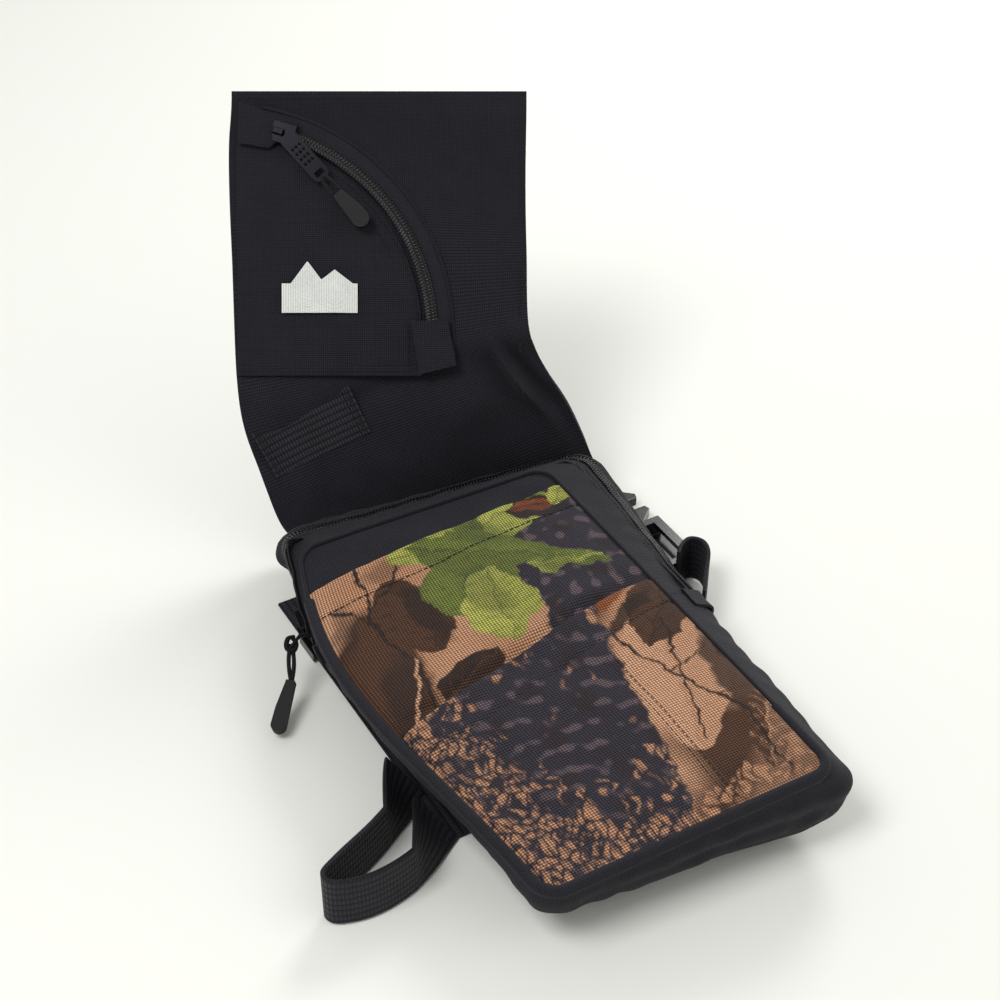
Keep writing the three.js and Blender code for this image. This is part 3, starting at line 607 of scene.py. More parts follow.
@dataclass
class PouchShape:
    """The pouch as it lies: its flat pattern and where each point of it sags to."""

    width: float = 127.0
    height: float = 218.0
    depth: float = 58.0
    rest_depth: float = 47.8
    radius: float = 10.0
    left_bulge: float = 12.0
    right_bulge: float = 20.0
    end_bulge: float = 6.0
    left_bow: float = 17.0
    back_lift: float = 21.0
    lift_start: float = 0.55
    zip_depth: float = 38.0
    zip_right_y: float = 8.0
    zip_left_y: float = 50.0

    def __post_init__(self) -> None:
        """Works out the corners of the front and of the back."""
        w, h, z = self.width / 2, self.height / 2, self.rest_depth
        self.front = {"tl": (-w, h + 1, z - 4), "tr": (w - 3.5, h - 7, z),
                      "bl": (-w - 3, -h + 1, z - 12), "br": (w - 3.5, -h - 8.5, z)}
        self.back = {"tl": (-w + 26, h + 39, 0), "tr": (w + 24, h + 15, 0),
                     "bl": (-w + 26, -h + 21, 0), "br": (w - 11.5, -h + 5, 0)}
        self.straight_x = self.width - 2 * self.radius
        self.straight_y = self.height - 2 * self.radius
        self.arc = math.pi * self.radius / 2
        self.seam_length = 2 * (self.straight_x + self.straight_y) + 4 * self.arc

    @staticmethod
    def _bilinear(corners: dict, u: Array, v: Array) -> Array:
        """Point of a sheet stretched between four corners."""
        q = {key: np.array(value, float) for key, value in corners.items()}
        u, v = u[:, None], v[:, None]
        return (1 - v) * ((1 - u) * q["bl"] + u * q["br"]) + v * ((1 - u) * q["tl"] + u * q["tr"])

    def slump(self, x: Array, y: Array, d: Array) -> Array:
        """Takes points of the flat pattern, and their depth from the back seam, to where they lie."""
        x, y, d = np.broadcast_arrays(*(np.asarray(a, float) for a in (x, y, d)))
        w = np.clip(d / self.depth, 0, 1)
        swell = np.sin(math.pi * w)
        bulge = np.where(x < 0, self.left_bulge, self.right_bulge)
        u = x * (1 + 2 * bulge / self.width * swell) / self.width + 0.5
        v = y * (1 + 2 * self.end_bulge / self.height * swell) / self.height + 0.5
        front, back = self._bilinear(self.front, u, v), self._bilinear(self.back, u, v)
        share = np.sin(math.pi * np.clip(v, 0, 1) ** 1.45)
        front[:, 0] -= self.left_bow * share * np.maximum(0, 1 - u) ** 1.5
        back[:, 2] = self.back_lift * np.maximum(0, (v - self.lift_start) / (1 - self.lift_start)) ** 1.15
        point = back + (front - back) * w[:, None]
        point[:, 2] += d - w * self.depth
        return point

    def seam(self, distance: Array, inset: float = 0.0) -> tuple[Array, Array]:
        """Point of the seam line, from the middle of the bottom, up the right and down the left side."""
        s = np.mod(np.asarray(distance, float), self.seam_length)
        cx, cy, r = self.width / 2 - self.radius, self.height / 2 - self.radius, self.radius - inset
        x, y = np.zeros_like(s), np.zeros_like(s)
        start = 0.0
        runs = [
            (self.straight_x / 2, lambda t: (t, -cy - r + 0 * t)),
            (self.arc, lambda t: (cx + r * np.sin(t / self.radius), -cy - r * np.cos(t / self.radius))),
            (self.straight_y, lambda t: (cx + r + 0 * t, -cy + t)),
            (self.arc, lambda t: (cx + r * np.cos(t / self.radius), cy + r * np.sin(t / self.radius))),
            (self.straight_x, lambda t: (cx - t, cy + r + 0 * t)),
            (self.arc, lambda t: (-cx - r * np.sin(t / self.radius), cy + r * np.cos(t / self.radius))),
            (self.straight_y, lambda t: (-cx - r + 0 * t, cy - t)),
            (self.arc, lambda t: (-cx - r * np.cos(t / self.radius), -cy - r * np.sin(t / self.radius))),
            (self.straight_x / 2 + 1, lambda t: (-cx + t, -cy - r + 0 * t)),
        ]
        for length, at in runs:
            mask = (s >= start) & (s < start + length)
            px, py = at(s[mask] - start)
            x[mask], y[mask] = px, py
            start += length
        return x, y

    def right_side(self, y: float) -> float:
        """Distance along the seam of a height on the right side."""
        return self.straight_x / 2 + self.arc + y + self.height / 2 - self.radius

    def left_side(self, y: float) -> float:
        """Distance along the seam of a height on the left side."""
        return self.seam_length - self.right_side(y)

    @staticmethod
    def round_corner(x: Array, y: Array, half_w: float, half_h: float, radius: float) -> tuple[Array, Array]:
        """Pulls the square corners of a grid in to a radius."""
        ex, ey = np.abs(x) - (half_w - radius), np.abs(y) - (half_h - radius)
        corner = (ex > 0) & (ey > 0)
        rx = np.where(corner, ex * np.sqrt(np.maximum(0, 1 - ey**2 / (2 * radius**2))), ex)
        ry = np.where(corner, ey * np.sqrt(np.maximum(0, 1 - ex**2 / (2 * radius**2))), ey)
        return (np.where(corner, np.sign(x) * (half_w - radius + rx), x),
                np.where(corner, np.sign(y) * (half_h - radius + ry), y))

    def front_relief(self, x: Array, y: Array) -> Array:
        """How far the slack front stands out of its flat plane."""
        rx, ry = np.clip(2 * x / self.width, -1, 1), np.clip(2 * y / self.height, -1, 1)
        puff = 3.2 * (1 - rx**4) * (1 - ry**4)
        folds = 1.25 * ripple(x, y, 62, 11) + 0.5 * ripple(x, y, 26, 12)
        pull = 1.2 * bump(x - 0.5 * y, 66.0, 9.0) * np.clip(ry, 0, 1) - bump(x + 0.6 * y, -92.0, 10.0)
        folds = folds + pull
        # the front is drawn in along the lower pocket's hem
        hem_y = 1.5 + 16.5 * rx
        puff = puff - 3.2 * bump(y - hem_y, 4.5, 4.5) * (1 - rx**6)
        edge = np.minimum(1, 5 * (1 - np.abs(rx))) * np.minimum(1, 8 * (1 - np.abs(ry)))
        return puff + folds * edge

    def front_face(self, x: Array, y: Array, lift: Array) -> Array:
        """Point of the front, lifted off the front cloth's outer face."""
        point = self.slump(x, y, self.depth)
        point[:, 2] += self.front_relief(x, y) + lift
        return point

    def gusset_face(self, s: Array, d: Array, lift: Array, inset: float = 0.0) -> Array:
        """Point of the gusset cloth at a distance along the seam and a depth, lifted outwards."""
        x, y = self.seam(s, inset)
        x2, y2 = self.seam(s + 1.0, inset)
        point = self.slump(x, y, d)
        way = self.slump(x2, y2, d) - point
        rise = self.slump(x, y, d + 1.0) - self.slump(x, y, d - 1.0)
        out = unit(np.cross(way, rise))
        w = np.clip(d / self.depth, 0, 1)
        slack = np.sin(math.pi * w)
        creases = 1.1 * ripple(s, 2.2 * d, 46, 21) + 0.5 * ripple(s, d, 17, 22)
        return point + out * (np.asarray(lift) + creases * slack)[:, None]

    def seam_path(self, start: float, end: float, d: float, lift: float, inset: float = 0.0) -> Path:
        """Path along the gusset at a depth, facing out."""
        s = np.linspace(start, end, max(8, int(abs(end - start) / 2)))
        points = self.gusset_face(s, np.full_like(s, d), np.full_like(s, lift), inset)
        above = self.gusset_face(s, np.full_like(s, d), np.full_like(s, lift + 2.0), inset)
        return Path(points, unit(above - points))

    def front_path(self, x: Array, y: Array, lift: float) -> Path:
        """Path over the front through points of the flat pattern, facing out."""
        points = self.front_face(x, y, np.full_like(x, lift))
        above = self.slump(x, y, self.depth + 4.0) - self.slump(x, y, self.depth)
        return Path(points, unit(above))


# ---- the printed cloth ---------------------------------------------------------------------------


@dataclass(frozen=True)
class Ink:
    """Inks of the leaf and bark print."""

    tan: str = "#c08e6c"
    peach: str = "#d6a583"
    umber: str = "#33241f"
    brown: str = "#573a29"
    rust: str = "#8f4c27"
    bark: str = "#34303b"
    mauve: str = "#6d5d64"
    green: str = "#74803a"
    lime: str = "#b9bb5c"
    moss: str = "#4a5430"


class LeafPrint:
    """A generic woodland print: lobed and oval leaves, twigs and cracked bark, painted on points."""

    def __init__(self, x: Array, y: Array, seed: int) -> None:
        """Starts from a mottled tan ground.

        Args:
            x: places across the cloth in millimetres.
            y: places up the cloth in millimetres.
            seed: fixes the uneven edges.
        """
        self.count = len(x)
        self.ink = Ink()
        self.wobble_x = x + 1.6 * ripple(x, y, 13, seed) + 0.5 * ripple(x, y, 4, seed + 1)
        self.wobble_y = y + 1.6 * ripple(x, y, 13, seed + 2) + 0.5 * ripple(x, y, 4, seed + 3)
        self.fine = ripple(x, y, 5, seed + 4)
        self.colour = np.tile(linear(self.ink.tan)[:3], (self.count, 1))
        self.fill(self.ink.peach, 0.7 * np.clip(0.5 + 0.8 * ripple(x, y, 38, seed + 5), 0, 1))

    def fill(self, code: str, cover: Array) -> None:
        """Lays an ink over the print where cover is above 0."""
        cover = np.clip(cover, 0, 1)[:, None]
        self.colour += (np.array(linear(code)[:3]) - self.colour) * cover

    def local(self, cx: float, cy: float, turn: float) -> tuple[Array, Array]:
        """Coordinates along and across a direction, in degrees, about a middle."""
        a = math.radians(turn)
        dx, dy = self.wobble_x - cx, self.wobble_y - cy
        return dx * math.cos(a) + dy * math.sin(a), -dx * math.sin(a) + dy * math.cos(a)

    def leaf(self, cx: float, cy: float, turn: float, length: float, width: float, code: str, shade: str,
             lobes: int = 0, veins: int = 7) -> None:
        """Paints a leaf with its midrib, side veins and a darker half.

        Args:
            cx: middle across the cloth.
            cy: middle up the cloth.
            turn: direction of the midrib in degrees.
            length: of the leaf in millimetres.
            width: at its widest in millimetres.
            code: its ink.
            shade: ink of its darker half and veins.
            lobes: pairs of lobes, 0 for a plain edge.
            veins: pairs of side veins.
        """
        a, b = self.local(cx, cy, turn)
        t = np.clip(a / length + 0.5, 0, 1)
        edge = width / 2 * np.sin(math.pi * t) ** 0.7
        if lobes:
            edge = edge * (0.72 + 0.34 * np.sin(math.tau * (lobes * t + 0.15 * np.abs(b) / width)))
        inside = np.where((t > 0) & (t < 1), np.clip((edge - np.abs(b)) * 1.6, 0, 1), 0)
        self.fill(code, inside)
        self.fill(shade, inside * (0.30 * (b < 0) + 0.28 * np.clip(self.fine, 0, 1)))
        rib = np.clip(1.0 - np.abs(b) / 0.6, 0, 1)
        slanted = a - 0.8 * np.abs(b)
        spacing = length / (veins + 1)
        side = np.clip(1.0 - np.abs(np.mod(slanted, spacing) - spacing / 2) / 0.45, 0, 1)
        self.fill(shade, inside * np.maximum(rib, side * 0.65))

    def blob(self, cx: float, cy: float, turn: float, length: float, width: float, code: str,
             soft: float = 0.8, strength: float = 1.0) -> None:
        """Paints an uneven oval."""
        a, b = self.local(cx, cy, turn)
        reach = 1 - np.sqrt((2 * a / length) ** 2 + (2 * b / width) ** 2)
        self.fill(code, strength * np.clip(reach * min(length, width) / 2 * soft, 0, 1))

    def twig(self, points: Sequence[tuple[float, float]], thick: float, code: str) -> None:
        """Paints a thin crooked line through points."""
        nearest = np.full(self.count, 1e6)
        for (x0, y0), (x1, y1) in zip(points, points[1:]):
            dx, dy = x1 - x0, y1 - y0
            t = np.clip(((self.wobble_x - x0) * dx + (self.wobble_y - y0) * dy) / (dx * dx + dy * dy), 0, 1)
            nearest = np.minimum(nearest, np.hypot(self.wobble_x - x0 - t * dx, self.wobble_y - y0 - t * dy))
        self.fill(code, np.clip((thick / 2 - nearest) * 1.8 + 0.5, 0, 1))

    def bark(self, where: Array, plates: str, gaps: str, count: int, seed: int, long: float = 0.62) -> None:
        """Paints cracked bark: scattered plates of one ink, closer together where the cover is high.

        Args:
            where: cover, 0 to 1.
            plates: ink of the plates.
            gaps: ink of the cracks round them.
            count: how many plates are scattered over the cloth.
            seed: fixes where.
            long: how much longer a plate is up the cloth than across it.
        """
        chance = random.Random(seed)
        first, second = np.full(self.count, 1e6), np.full(self.count, 1e6)
        keep = np.zeros(self.count)
        for _ in range(count):
            px, py, worth = chance.uniform(-65, 65), chance.uniform(-112, 22), chance.random()
            gap = np.hypot(self.wobble_x - px, (self.wobble_y - py) * long)
            nearer = gap < first
            second = np.where(nearer, first, np.minimum(second, gap))
            first = np.where(nearer, gap, first)
            keep = np.where(nearer, worth, keep)
        self.fill(gaps, where * 0.85)
        plate = np.clip((second - first) * 1.3 - 0.45, 0, 1) * np.clip((where * 1.15 - keep) * 8, 0, 1)
        self.fill(plates, plate * np.clip(0.95 + 0.5 * self.fine, 0.3, 1))


def paint_upper(x: Array, y: Array) -> Array:
    """Colours of the upper pocket's print, with painted shade along the lower pocket's mouth."""
    art = LeafPrint(x, y, 301)
    ink = art.ink
    art.blob(-52, 14, 78, 96, 34, ink.brown, 0.35)
    art.blob(-50, 4, 70, 60, 18, ink.umber, 0.25, 0.75)
    art.blob(-55, 50, 80, 40, 10, ink.umber, 0.3, 0.6)
    art.leaf(-29, 46, 96, 50, 29, ink.brown, ink.umber, veins=9)
    art.blob(-24, 44, 96, 44, 13, ink.umber, 0.5, 0.75)
    art.blob(-30, 76, 20, 26, 14, ink.brown, 0.3, 0.5)
    art.leaf(-24, 4, 28, 36, 18, ink.umber, ink.brown, veins=4)
    art.twig([(-43, 82), (-41, 62), (-44, 45), (-38, 18), (-44, -10)], 1.7, ink.umber)
    art.twig([(-57, 66), (-43, 48)], 1.2, ink.umber)
    art.twig([(-20, 88), (-30, 66), (-41, 58)], 1.1, ink.umber)
    art.twig([(-38, 22), (-46, 2), (-57, -20)], 1.2, ink.peach)
    art.blob(46, 40, 84, 118, 62, ink.bark, 1.3)
    art.blob(20, 6, 70, 52, 22, ink.bark, 1.0)
    bark = (np.linalg.norm(art.colour - np.array(linear(ink.bark)[:3]), axis=1) < 0.03) * 1.0
    art.fill(ink.mauve, bark * np.clip(2.6 * ripple(x, y, 9, 317, 16) - 0.9, 0, 1) * 0.8)
    art.fill(ink.umber, bark * np.clip(1.5 * ripple(x, y, 16, 318) - 0.5, 0, 1) * 0.6)
    art.leaf(14, 84, 6, 86, 34, ink.lime, ink.green, veins=8)
    art.leaf(2, 62, 66, 66, 48, ink.green, ink.moss, lobes=1, veins=6)
    art.leaf(18, 60, -34, 86, 34, ink.green, ink.moss, lobes=1, veins=6)
    art.leaf(2, 34, 80, 46, 30, ink.lime, ink.green, veins=6)
    art.leaf(36, 45, -12, 34, 15, ink.green, ink.lime, lobes=1, veins=4)
    greenery = art.colour[:, 1] > art.colour[:, 0]
    art.fill(ink.moss, 0.45 * np.clip(1.4 * ripple(x, y, 24, 319), 0, 1) * greenery)
    art.leaf(44, 84, -8, 32, 17, ink.umber, ink.bark, veins=3)
    art.leaf(43, 86, -8, 24, 9, ink.rust, ink.umber, veins=3)
    art.leaf(60, 90, 40, 22, 12, ink.lime, ink.green, veins=3)
    # painted shade: the cloth is darkened inside the mouth of the pocket in front of it, where that pocket's
    # hem shades it
    art.fill("#0d0b0b", 0.85 * bump(y - 16.5 * x / 63.5, 2.0, 2.0))
    return art.colour


def paint_lower(x: Array, y: Array) -> Array:
    """Colours of the lower pocket's print."""
    art = LeafPrint(x, y, 401)
    ink = art.ink
    left = np.clip((24 + 0.22 * (art.wobble_y + 20) - art.wobble_x) * 0.7, 0, 1)
    right = 1 - left
    # the right of the cloth: dry leaves with dark midribs
    art.fill(ink.brown, right * np.clip(1.3 * ripple(x, y, 46, 430) + 0.1, 0, 1))
    art.leaf(40, -34, 70, 96, 40, ink.peach, ink.tan, veins=7)
    art.leaf(56, 2, 50, 60, 26, ink.brown, ink.umber, veins=5)
    art.blob(58, -50, 80, 70, 20, ink.umber, 0.5, 0.85)
    art.leaf(54, -78, 60, 46, 18, ink.brown, ink.peach, veins=5)
    art.blob(34, 10, 24, 40, 9, ink.rust, 0.6, 0.9)
    art.blob(40, 1, 30, 46, 7, ink.umber, 0.8, 0.9)
    art.twig([(26, -6), (36, -36), (50, -66), (48, -106)], 1.4, ink.umber)
    art.twig([(50, -8), (40, -40), (28, -74)], 1.1, ink.umber)
    art.twig([(36, -36), (58, -30)], 0.9, ink.brown)
    art.twig([(44, -54), (60, -58)], 0.9, ink.brown)
    # the left: dark bark with mauve lichen and pale plates towards its edge and foot
    art.fill(ink.bark, left)
    art.fill(ink.umber, left * np.clip(1.5 * ripple(x, y, 22, 409) - 0.2, 0, 1) * 0.5)
    art.fill(ink.mauve, left * np.clip(2.4 * ripple(1.3 * x, y, 9, 411, 18) - 0.8, 0, 1) * 0.75)
    rim = np.clip((-34 - 0.10 * (art.wobble_y + 60) - art.wobble_x) * 0.04 + 0.34, 0, 0.95)
    foot = np.clip((-62 - art.wobble_y + 0.25 * art.wobble_x) * 0.02 + 0.08, 0, 0.6)
    pale = left * np.clip(rim + foot + 0.3 * ripple(x, y, 26, 415), 0, 0.9)
    art.bark(pale, ink.tan, ink.bark, 1150, 421, 0.5)
    art.bark(right * np.clip((-84 - art.wobble_y) * 0.05, 0, 0.7), ink.tan, ink.umber, 700, 441)
    return art.colour


# ---- pouch ---------------------------------------------------------------------------------------


@dataclass
class Pouch:
    """Front, back and gusset cloth of the pouch, with its piping."""

    shape: PouchShape
    wardrobe: Wardrobe
    cloth: float = 1.2
    zip_gap: float = 3.5

    def build(self) -> None:
        """Makes and dresses the pouch."""
        self.front()
        self.back()
        self.gusset()
        self.piping()

    def front(self) -> None:
        """Plain front cloth, seen above the pockets."""
        shape = self.shape

        def place(u: Array, v: Array) -> Array:
            """Places the front cloth."""
            x, y = shape.round_corner((u - 0.5) * shape.width, (v - 0.5) * shape.height,
                                      shape.width / 2, shape.height / 2, shape.radius)
            return shape.front_face(x, y, np.full_like(x, -0.1))

        sheet = cloth_sheet("front_cloth", 110, 180, place, flat_plane(shape.width, shape.height), self.cloth)
        dress(sheet, self.wardrobe.cloth, replaces=["front_panel"])

    def back(self) -> None:
        """Back cloth, flat on the table and lifted at its top."""
        shape = self.shape

        def place(u: Array, v: Array) -> Array:
            """Places the back cloth, its outer face down."""
            x, y = shape.round_corner((0.5 - u) * shape.width, (v - 0.5) * shape.height,
                                      shape.width / 2, shape.height / 2, shape.radius)
            point = shape.slump(x, y, np.zeros_like(x))
            lifted = np.clip(point[:, 2] / 8, 0, 1)
            point[:, 2] += lifted * (0.7 + 0.7 * ripple(x, y, 40, 31))
            return point

        sheet = cloth_sheet("back_cloth", 80, 130, place, flat_plane(shape.width, shape.height), self.cloth)
        dress(sheet, self.wardrobe.cloth, replaces=["back_panel"])

    def strip(self, name: str, start: float, end: float, low: float, high: float, lift: float = 0.0,
              inset: float = 0.0, thickness: float = 1.2) -> bpy.types.Object:
        """One strip of gusset cloth between two depths."""
        shape = self.shape
        along = max(12, int((end - start) / 1.6))
        across = max(3, int((high - low) / 1.6))

        def place(u: Array, v: Array) -> Array:
            """Places the strip."""
            s, d = start + u * (end - start), low + v * (high - low)
            return shape.gusset_face(s, d, np.full_like(s, lift), inset)

        return cloth_sheet(name, along, across, place, flat_plane(end - start, high - low), thickness)

    def gusset(self) -> None:
        """Gusset cloth round the sides, either side of the zip and round the bottom."""
        shape = self.shape
        zip_from, zip_to = shape.right_side(shape.zip_right_y), shape.left_side(shape.zip_left_y)
        low, high = 0.3, shape.depth - 0.2
        lower = self.strip("gusset_cloth_lower", zip_to + 0.3, shape.seam_length + zip_from - 0.3, low, high)
        dress(lower, self.wardrobe.cloth, replaces=["lower_gusset"])
        back = self.strip("gusset_cloth_behind_zip", zip_from, zip_to, low, shape.zip_depth - self.zip_gap)
        dress(back, self.wardrobe.cloth, replaces=["zip_gusset_back"])
        front = self.strip("gusset_cloth_front", zip_from, zip_to, shape.zip_depth + self.zip_gap, high)
        dress(front, self.wardrobe.cloth, replaces=["zip_gusset_front"])
        for hand, middle in (("right", zip_from - 2.5), ("left", zip_to + 5.5)):
            patch = self.strip("zip_end_patch_" + hand, middle - 5.5, middle + 5.5,
                               shape.zip_depth - 11, shape.zip_depth + 11, 1.6)
            dress(patch, self.wardrobe.cloth, replaces=["zip_end_tab_" + hand])
        rows = [shape.seam_path(zip_from, zip_to, shape.zip_depth + aside, 0.1) for aside in (-5.6, 5.6)]
        sew("gusset_topstitch", rows, self.wardrobe.thread, width=0.22)

    def piping(self) -> None:
        """Herringbone binding down the left and round the bottom, and a thin welt on the rest."""
        shape = self.shape
        top_left = shape.left_side(76.0)
        bottom = shape.seam_length + shape.right_side(-70.0)
        bound = sweep("edge_binding", self.edge(top_left, bottom), oval(2.6, 1.9, 14), steps=1.2)
        dress(bound, self.wardrobe.tape, replaces=["front_welt"])
        plain = self.edge(shape.right_side(-70.0), top_left)
        welt = sweep("front_edge_welt", plain, oval(1.1, 1.0, 10), steps=1.2)
        dress(welt, self.wardrobe.cloth)

    def edge(self, start: float, end: float) -> Path:
        """Path along the front seam, facing out and up."""
        shape = self.shape
        s = np.linspace(start, end, int(abs(end - start) / 1.5))
        x, y = shape.seam(s, 0.6)
        points = shape.front_face(x, y, np.full_like(x, 0.5))
        depth = np.full_like(s, shape.depth)
        cloth, beside = (shape.gusset_face(s, depth, np.full_like(s, lift)) for lift in (0.0, 3.0))
        return Path(points, unit(unit(beside - cloth) + [0, 0, 1.2]))


@dataclass
class Pockets:
    """Two printed pockets, one behind the other, with pleated hems and a divider seam."""

    shape: PouchShape
    wardrobe: Wardrobe
    upper_top: tuple[float, float] = (80.0, 94.0)
    lower_top: tuple[float, float] = (-15.0, 18.0)
    hem: float = 16.0
    divider_x: float = 19.5
    divider_gap: float = 3.0
    margin: float = 1.2

    def build(self) -> None:
        """Makes and dresses the pockets."""
        low = (self.lower_top[0] - 14, self.lower_top[1] - 14)
        floor = -(self.shape.height / 2 - self.margin)
        upper = self.panel("upper_pocket_cloth", self.upper_top, low, 1.1, 1.0, paint_upper)
        dress(upper, self.wardrobe.print, replaces=["upper_pocket"])
        lower = self.panel("lower_pocket_cloth", self.lower_top, (floor, floor), 2.4, 4.6, paint_lower)
        dress(lower, self.wardrobe.print, replaces=["lower_pocket"])
        self.stitches()

    def panel(self, name: str, top: tuple[float, float], bottom: tuple[float, float], lift: float,
              gape: float, paint: Place) -> bpy.types.Object:
        """One pocket panel between two slanting edges.

        Args:
            name: the piece's name.
            top: height of its hem at the left and at the right.
            bottom: height of its lower edge.
            lift: off the front cloth.
            gape: how far the slack hem stands out more.
            paint: the print's colours, on the upper pocket with painted shade along the lower pocket's mouth.

        Returns:
            The panel.
        """
        shape = self.shape
        half = shape.width / 2 - self.margin

        def flat(u: Array, v: Array) -> tuple[Array, Array]:
            """Place in the flat pattern."""
            y = (bottom[0] + (bottom[1] - bottom[0]) * u) * (1 - v) + (top[0] + (top[1] - top[0]) * u) * v
            return shape.round_corner((u - 0.5) * 2 * half, y, half, shape.height / 2 - self.margin,
                                      shape.radius - self.margin)

        def place(u: Array, v: Array) -> Array:
            """Places the panel."""
            x, y = flat(u, v)
            hem_y = top[0] + (top[1] - top[0]) * u
            open_mouth = gape * np.exp(-(hem_y - y) / 7.0) * np.sin(math.pi * np.clip(u, 0, 1)) ** 0.6
            pleat = -0.6 * bump(hem_y - y, self.hem, 1.3)
            lapped = lift * np.clip((1 - np.abs(2 * u - 1)) * 18, 0.3, 1)
            return shape.front_face(x, y, lapped + open_mouth + pleat)

        tall = max(abs(top[0] - bottom[0]), abs(top[1] - bottom[1]))
        sheet = cloth_sheet(name, int(2 * half / 0.66), int(tall / 0.66), place,
                            lambda u, v: stack(*flat(u, v), 0.0), 0.0)
        coordinates = np.empty(len(sheet.data.vertices) * 3)
        sheet.data.attributes["cloth_mm"].data.foreach_get("vector", coordinates)
        x, y = coordinates.reshape(-1, 3)[:, 0], coordinates.reshape(-1, 3)[:, 1]
        layer = sheet.data.attributes.new("print", "FLOAT_COLOR", "POINT")
        layer.data.foreach_set("color", np.c_[paint(x, y), np.ones(len(x))].ravel())
        apply_modifier(sheet, "SOLIDIFY", thickness=0.9 * MM, offset=-1.0)
        smooth(sheet, SOFT_ANGLE)
        return sheet

    def stitches(self) -> None:
        """Sews the hems and the double divider seam."""
        shape, half = self.shape, self.shape.width / 2 - 3
        x = np.linspace(-half, half, 90)
        share = x / (2 * half) + 0.5
        rows = []
        for (left, right), lift in ((self.upper_top, 0.8), (self.lower_top, 2.1)):
            rows.append(shape.front_path(x, left + (right - left) * share - self.hem, lift))
        y = np.linspace(-(shape.height / 2 - 5), 8.5, 90)
        for gap in (0.0, self.divider_gap):
            rows.append(shape.front_path(np.full_like(y, self.divider_x + gap), y, 2.35))
        sew("pocket_stitching", rows, self.wardrobe.thread)


# ---- zips ----------------------------------------------------------------------------------------


@dataclass
class CoilZip:
    """A number 5 coil zip along a path: two tapes and a chain of coils."""

    wardrobe: Wardrobe
    half_chain: float = 3.0
    pitch: float = 1.55
    tape_width: float = 9.0

    def chain(self, name: str, path: Path, body: Optional[Body], replaces: Sequence[str]) -> bpy.types.Object:
        """Makes the chain's coils and the cord core that they are sewn round.

        Args:
            name: the piece's name.
            path: middle of the chain.
            body: what it moves with, or None to leave it unattached.
            replaces: frame nodes it stands for.

        Returns:
            The chain.
        """
        line = path.resample(self.pitch / 2)
        _, side, out = line.frames()
        parts = []
        for hand in (-1, 1):
            picked = slice(0 if hand > 0 else 1, None, 2)
            middles = line.points[picked] + side[picked] * hand * self.half_chain * 0.48
            parts.append(repeat("coils", SeedShape.COIL, middles, side[picked], out[picked],
                                (self.half_chain * 1.1, self.pitch * 0.36, 0.75)))
        core = sweep("core", path, oval(self.half_chain * 0.9, 0.5, 8, -0.3), steps=2.0)
        return dress(join(name, [*parts, core]), self.wardrobe.coil, body, replaces)

    def tapes(self, name: str, path: Path, body: Body, replaces: Sequence[str]) -> None:
        """Makes both woven tapes as one piece, a slit apart under the chain."""
        _, side, _ = path.frames()
        parts = []
        for hand in (-1, 1):
            shifted = Path(path.points + side * hand * (self.tape_width / 2 + 0.1), path.out)
            parts.append(sweep("tape", shifted, tape_section(self.tape_width / 2, 0.6, -0.9), steps=1.6))
        dress(join(name, parts), self.wardrobe.tape, body, replaces)


@dataclass
class MainZip:
    """The pouch's zip, from half way up the right side, over the top and down the left."""

    shape: PouchShape
    wardrobe: Wardrobe

    def build(self) -> None:
        """Makes and dresses the zip and its pull."""
        shape = self.shape
        start, end = shape.right_side(shape.zip_right_y), shape.left_side(shape.zip_left_y)
        zipper = CoilZip(self.wardrobe)
        line = shape.seam_path(start, end, shape.zip_depth, -0.25)
        zipper.chain("main_zip_coils", line, Body.BAG, ["main_zip_chain"])
        line = shape.seam_path(start, end, shape.zip_depth, -0.6)
        zipper.tapes("main_zip_tapes", line, Body.BAG, ["main_zip_tape_back", "main_zip_tape_front"])
        self.pull()

    def pull(self) -> None:
        """Braided double cord, knotted at the slider's eye and hanging to the grip."""
        middle, eye = np.array([-74.9, 77.9, 30.9]), np.array([-84.9, 73.9, 26.4])
        way = unit(np.array([-14.5, -15.5, -9.0]))
        top = eye + np.array([-5.3, -9.5, -12.0])
        turns = np.array([[2.5, 2, 1.5], [-1, 1.5, 2.2], [-3, -1.5, 0], [0, -2.5, -2],
                          [2.4, 0, -0.5], [0.5, 2.4, 1.8], [-2.4, 0.5, -0.5]])
        loop = spline(range(len(turns)), eye + turns, np.linspace(0, len(turns) - 1, 60))
        cord = oval(0.95, 0.95, 10)
        knot = sweep("pull_knot", Path.facing(loop, [0.3, 0.2, 1.0]), cord, steps=0.8)
        cords = []
        drop = np.linspace(0, 1, 40)[:, None]
        for hand in (-1, 1):
            bow = np.array([-0.6, 0.5, 0.2]) * hand * 1.5 * np.sin(math.pi * drop * 0.9 + 0.2)
            line = eye + (top - eye) * drop + bow
            cords.append(sweep("pull_cord", Path.facing(line, [0.0, 0.3, 1.0]), cord, steps=0.8))
        link = np.linspace(0, 1, 12)[:, None] * (eye - middle) + middle + way * 2.0
        cords.append(sweep("pull_link", Path.facing(link, [0.0, 0.3, 1.0]), oval(0.8, 0.8, 10), steps=0.8))
        dress(join("main_pull_braid", [knot, *cords]), self.wardrobe.cord, Body.MAIN_PULL,
              ["main_pull_cord", "main_pull_link"])


# ---- flap ----------------------------------------------------------------------------------------


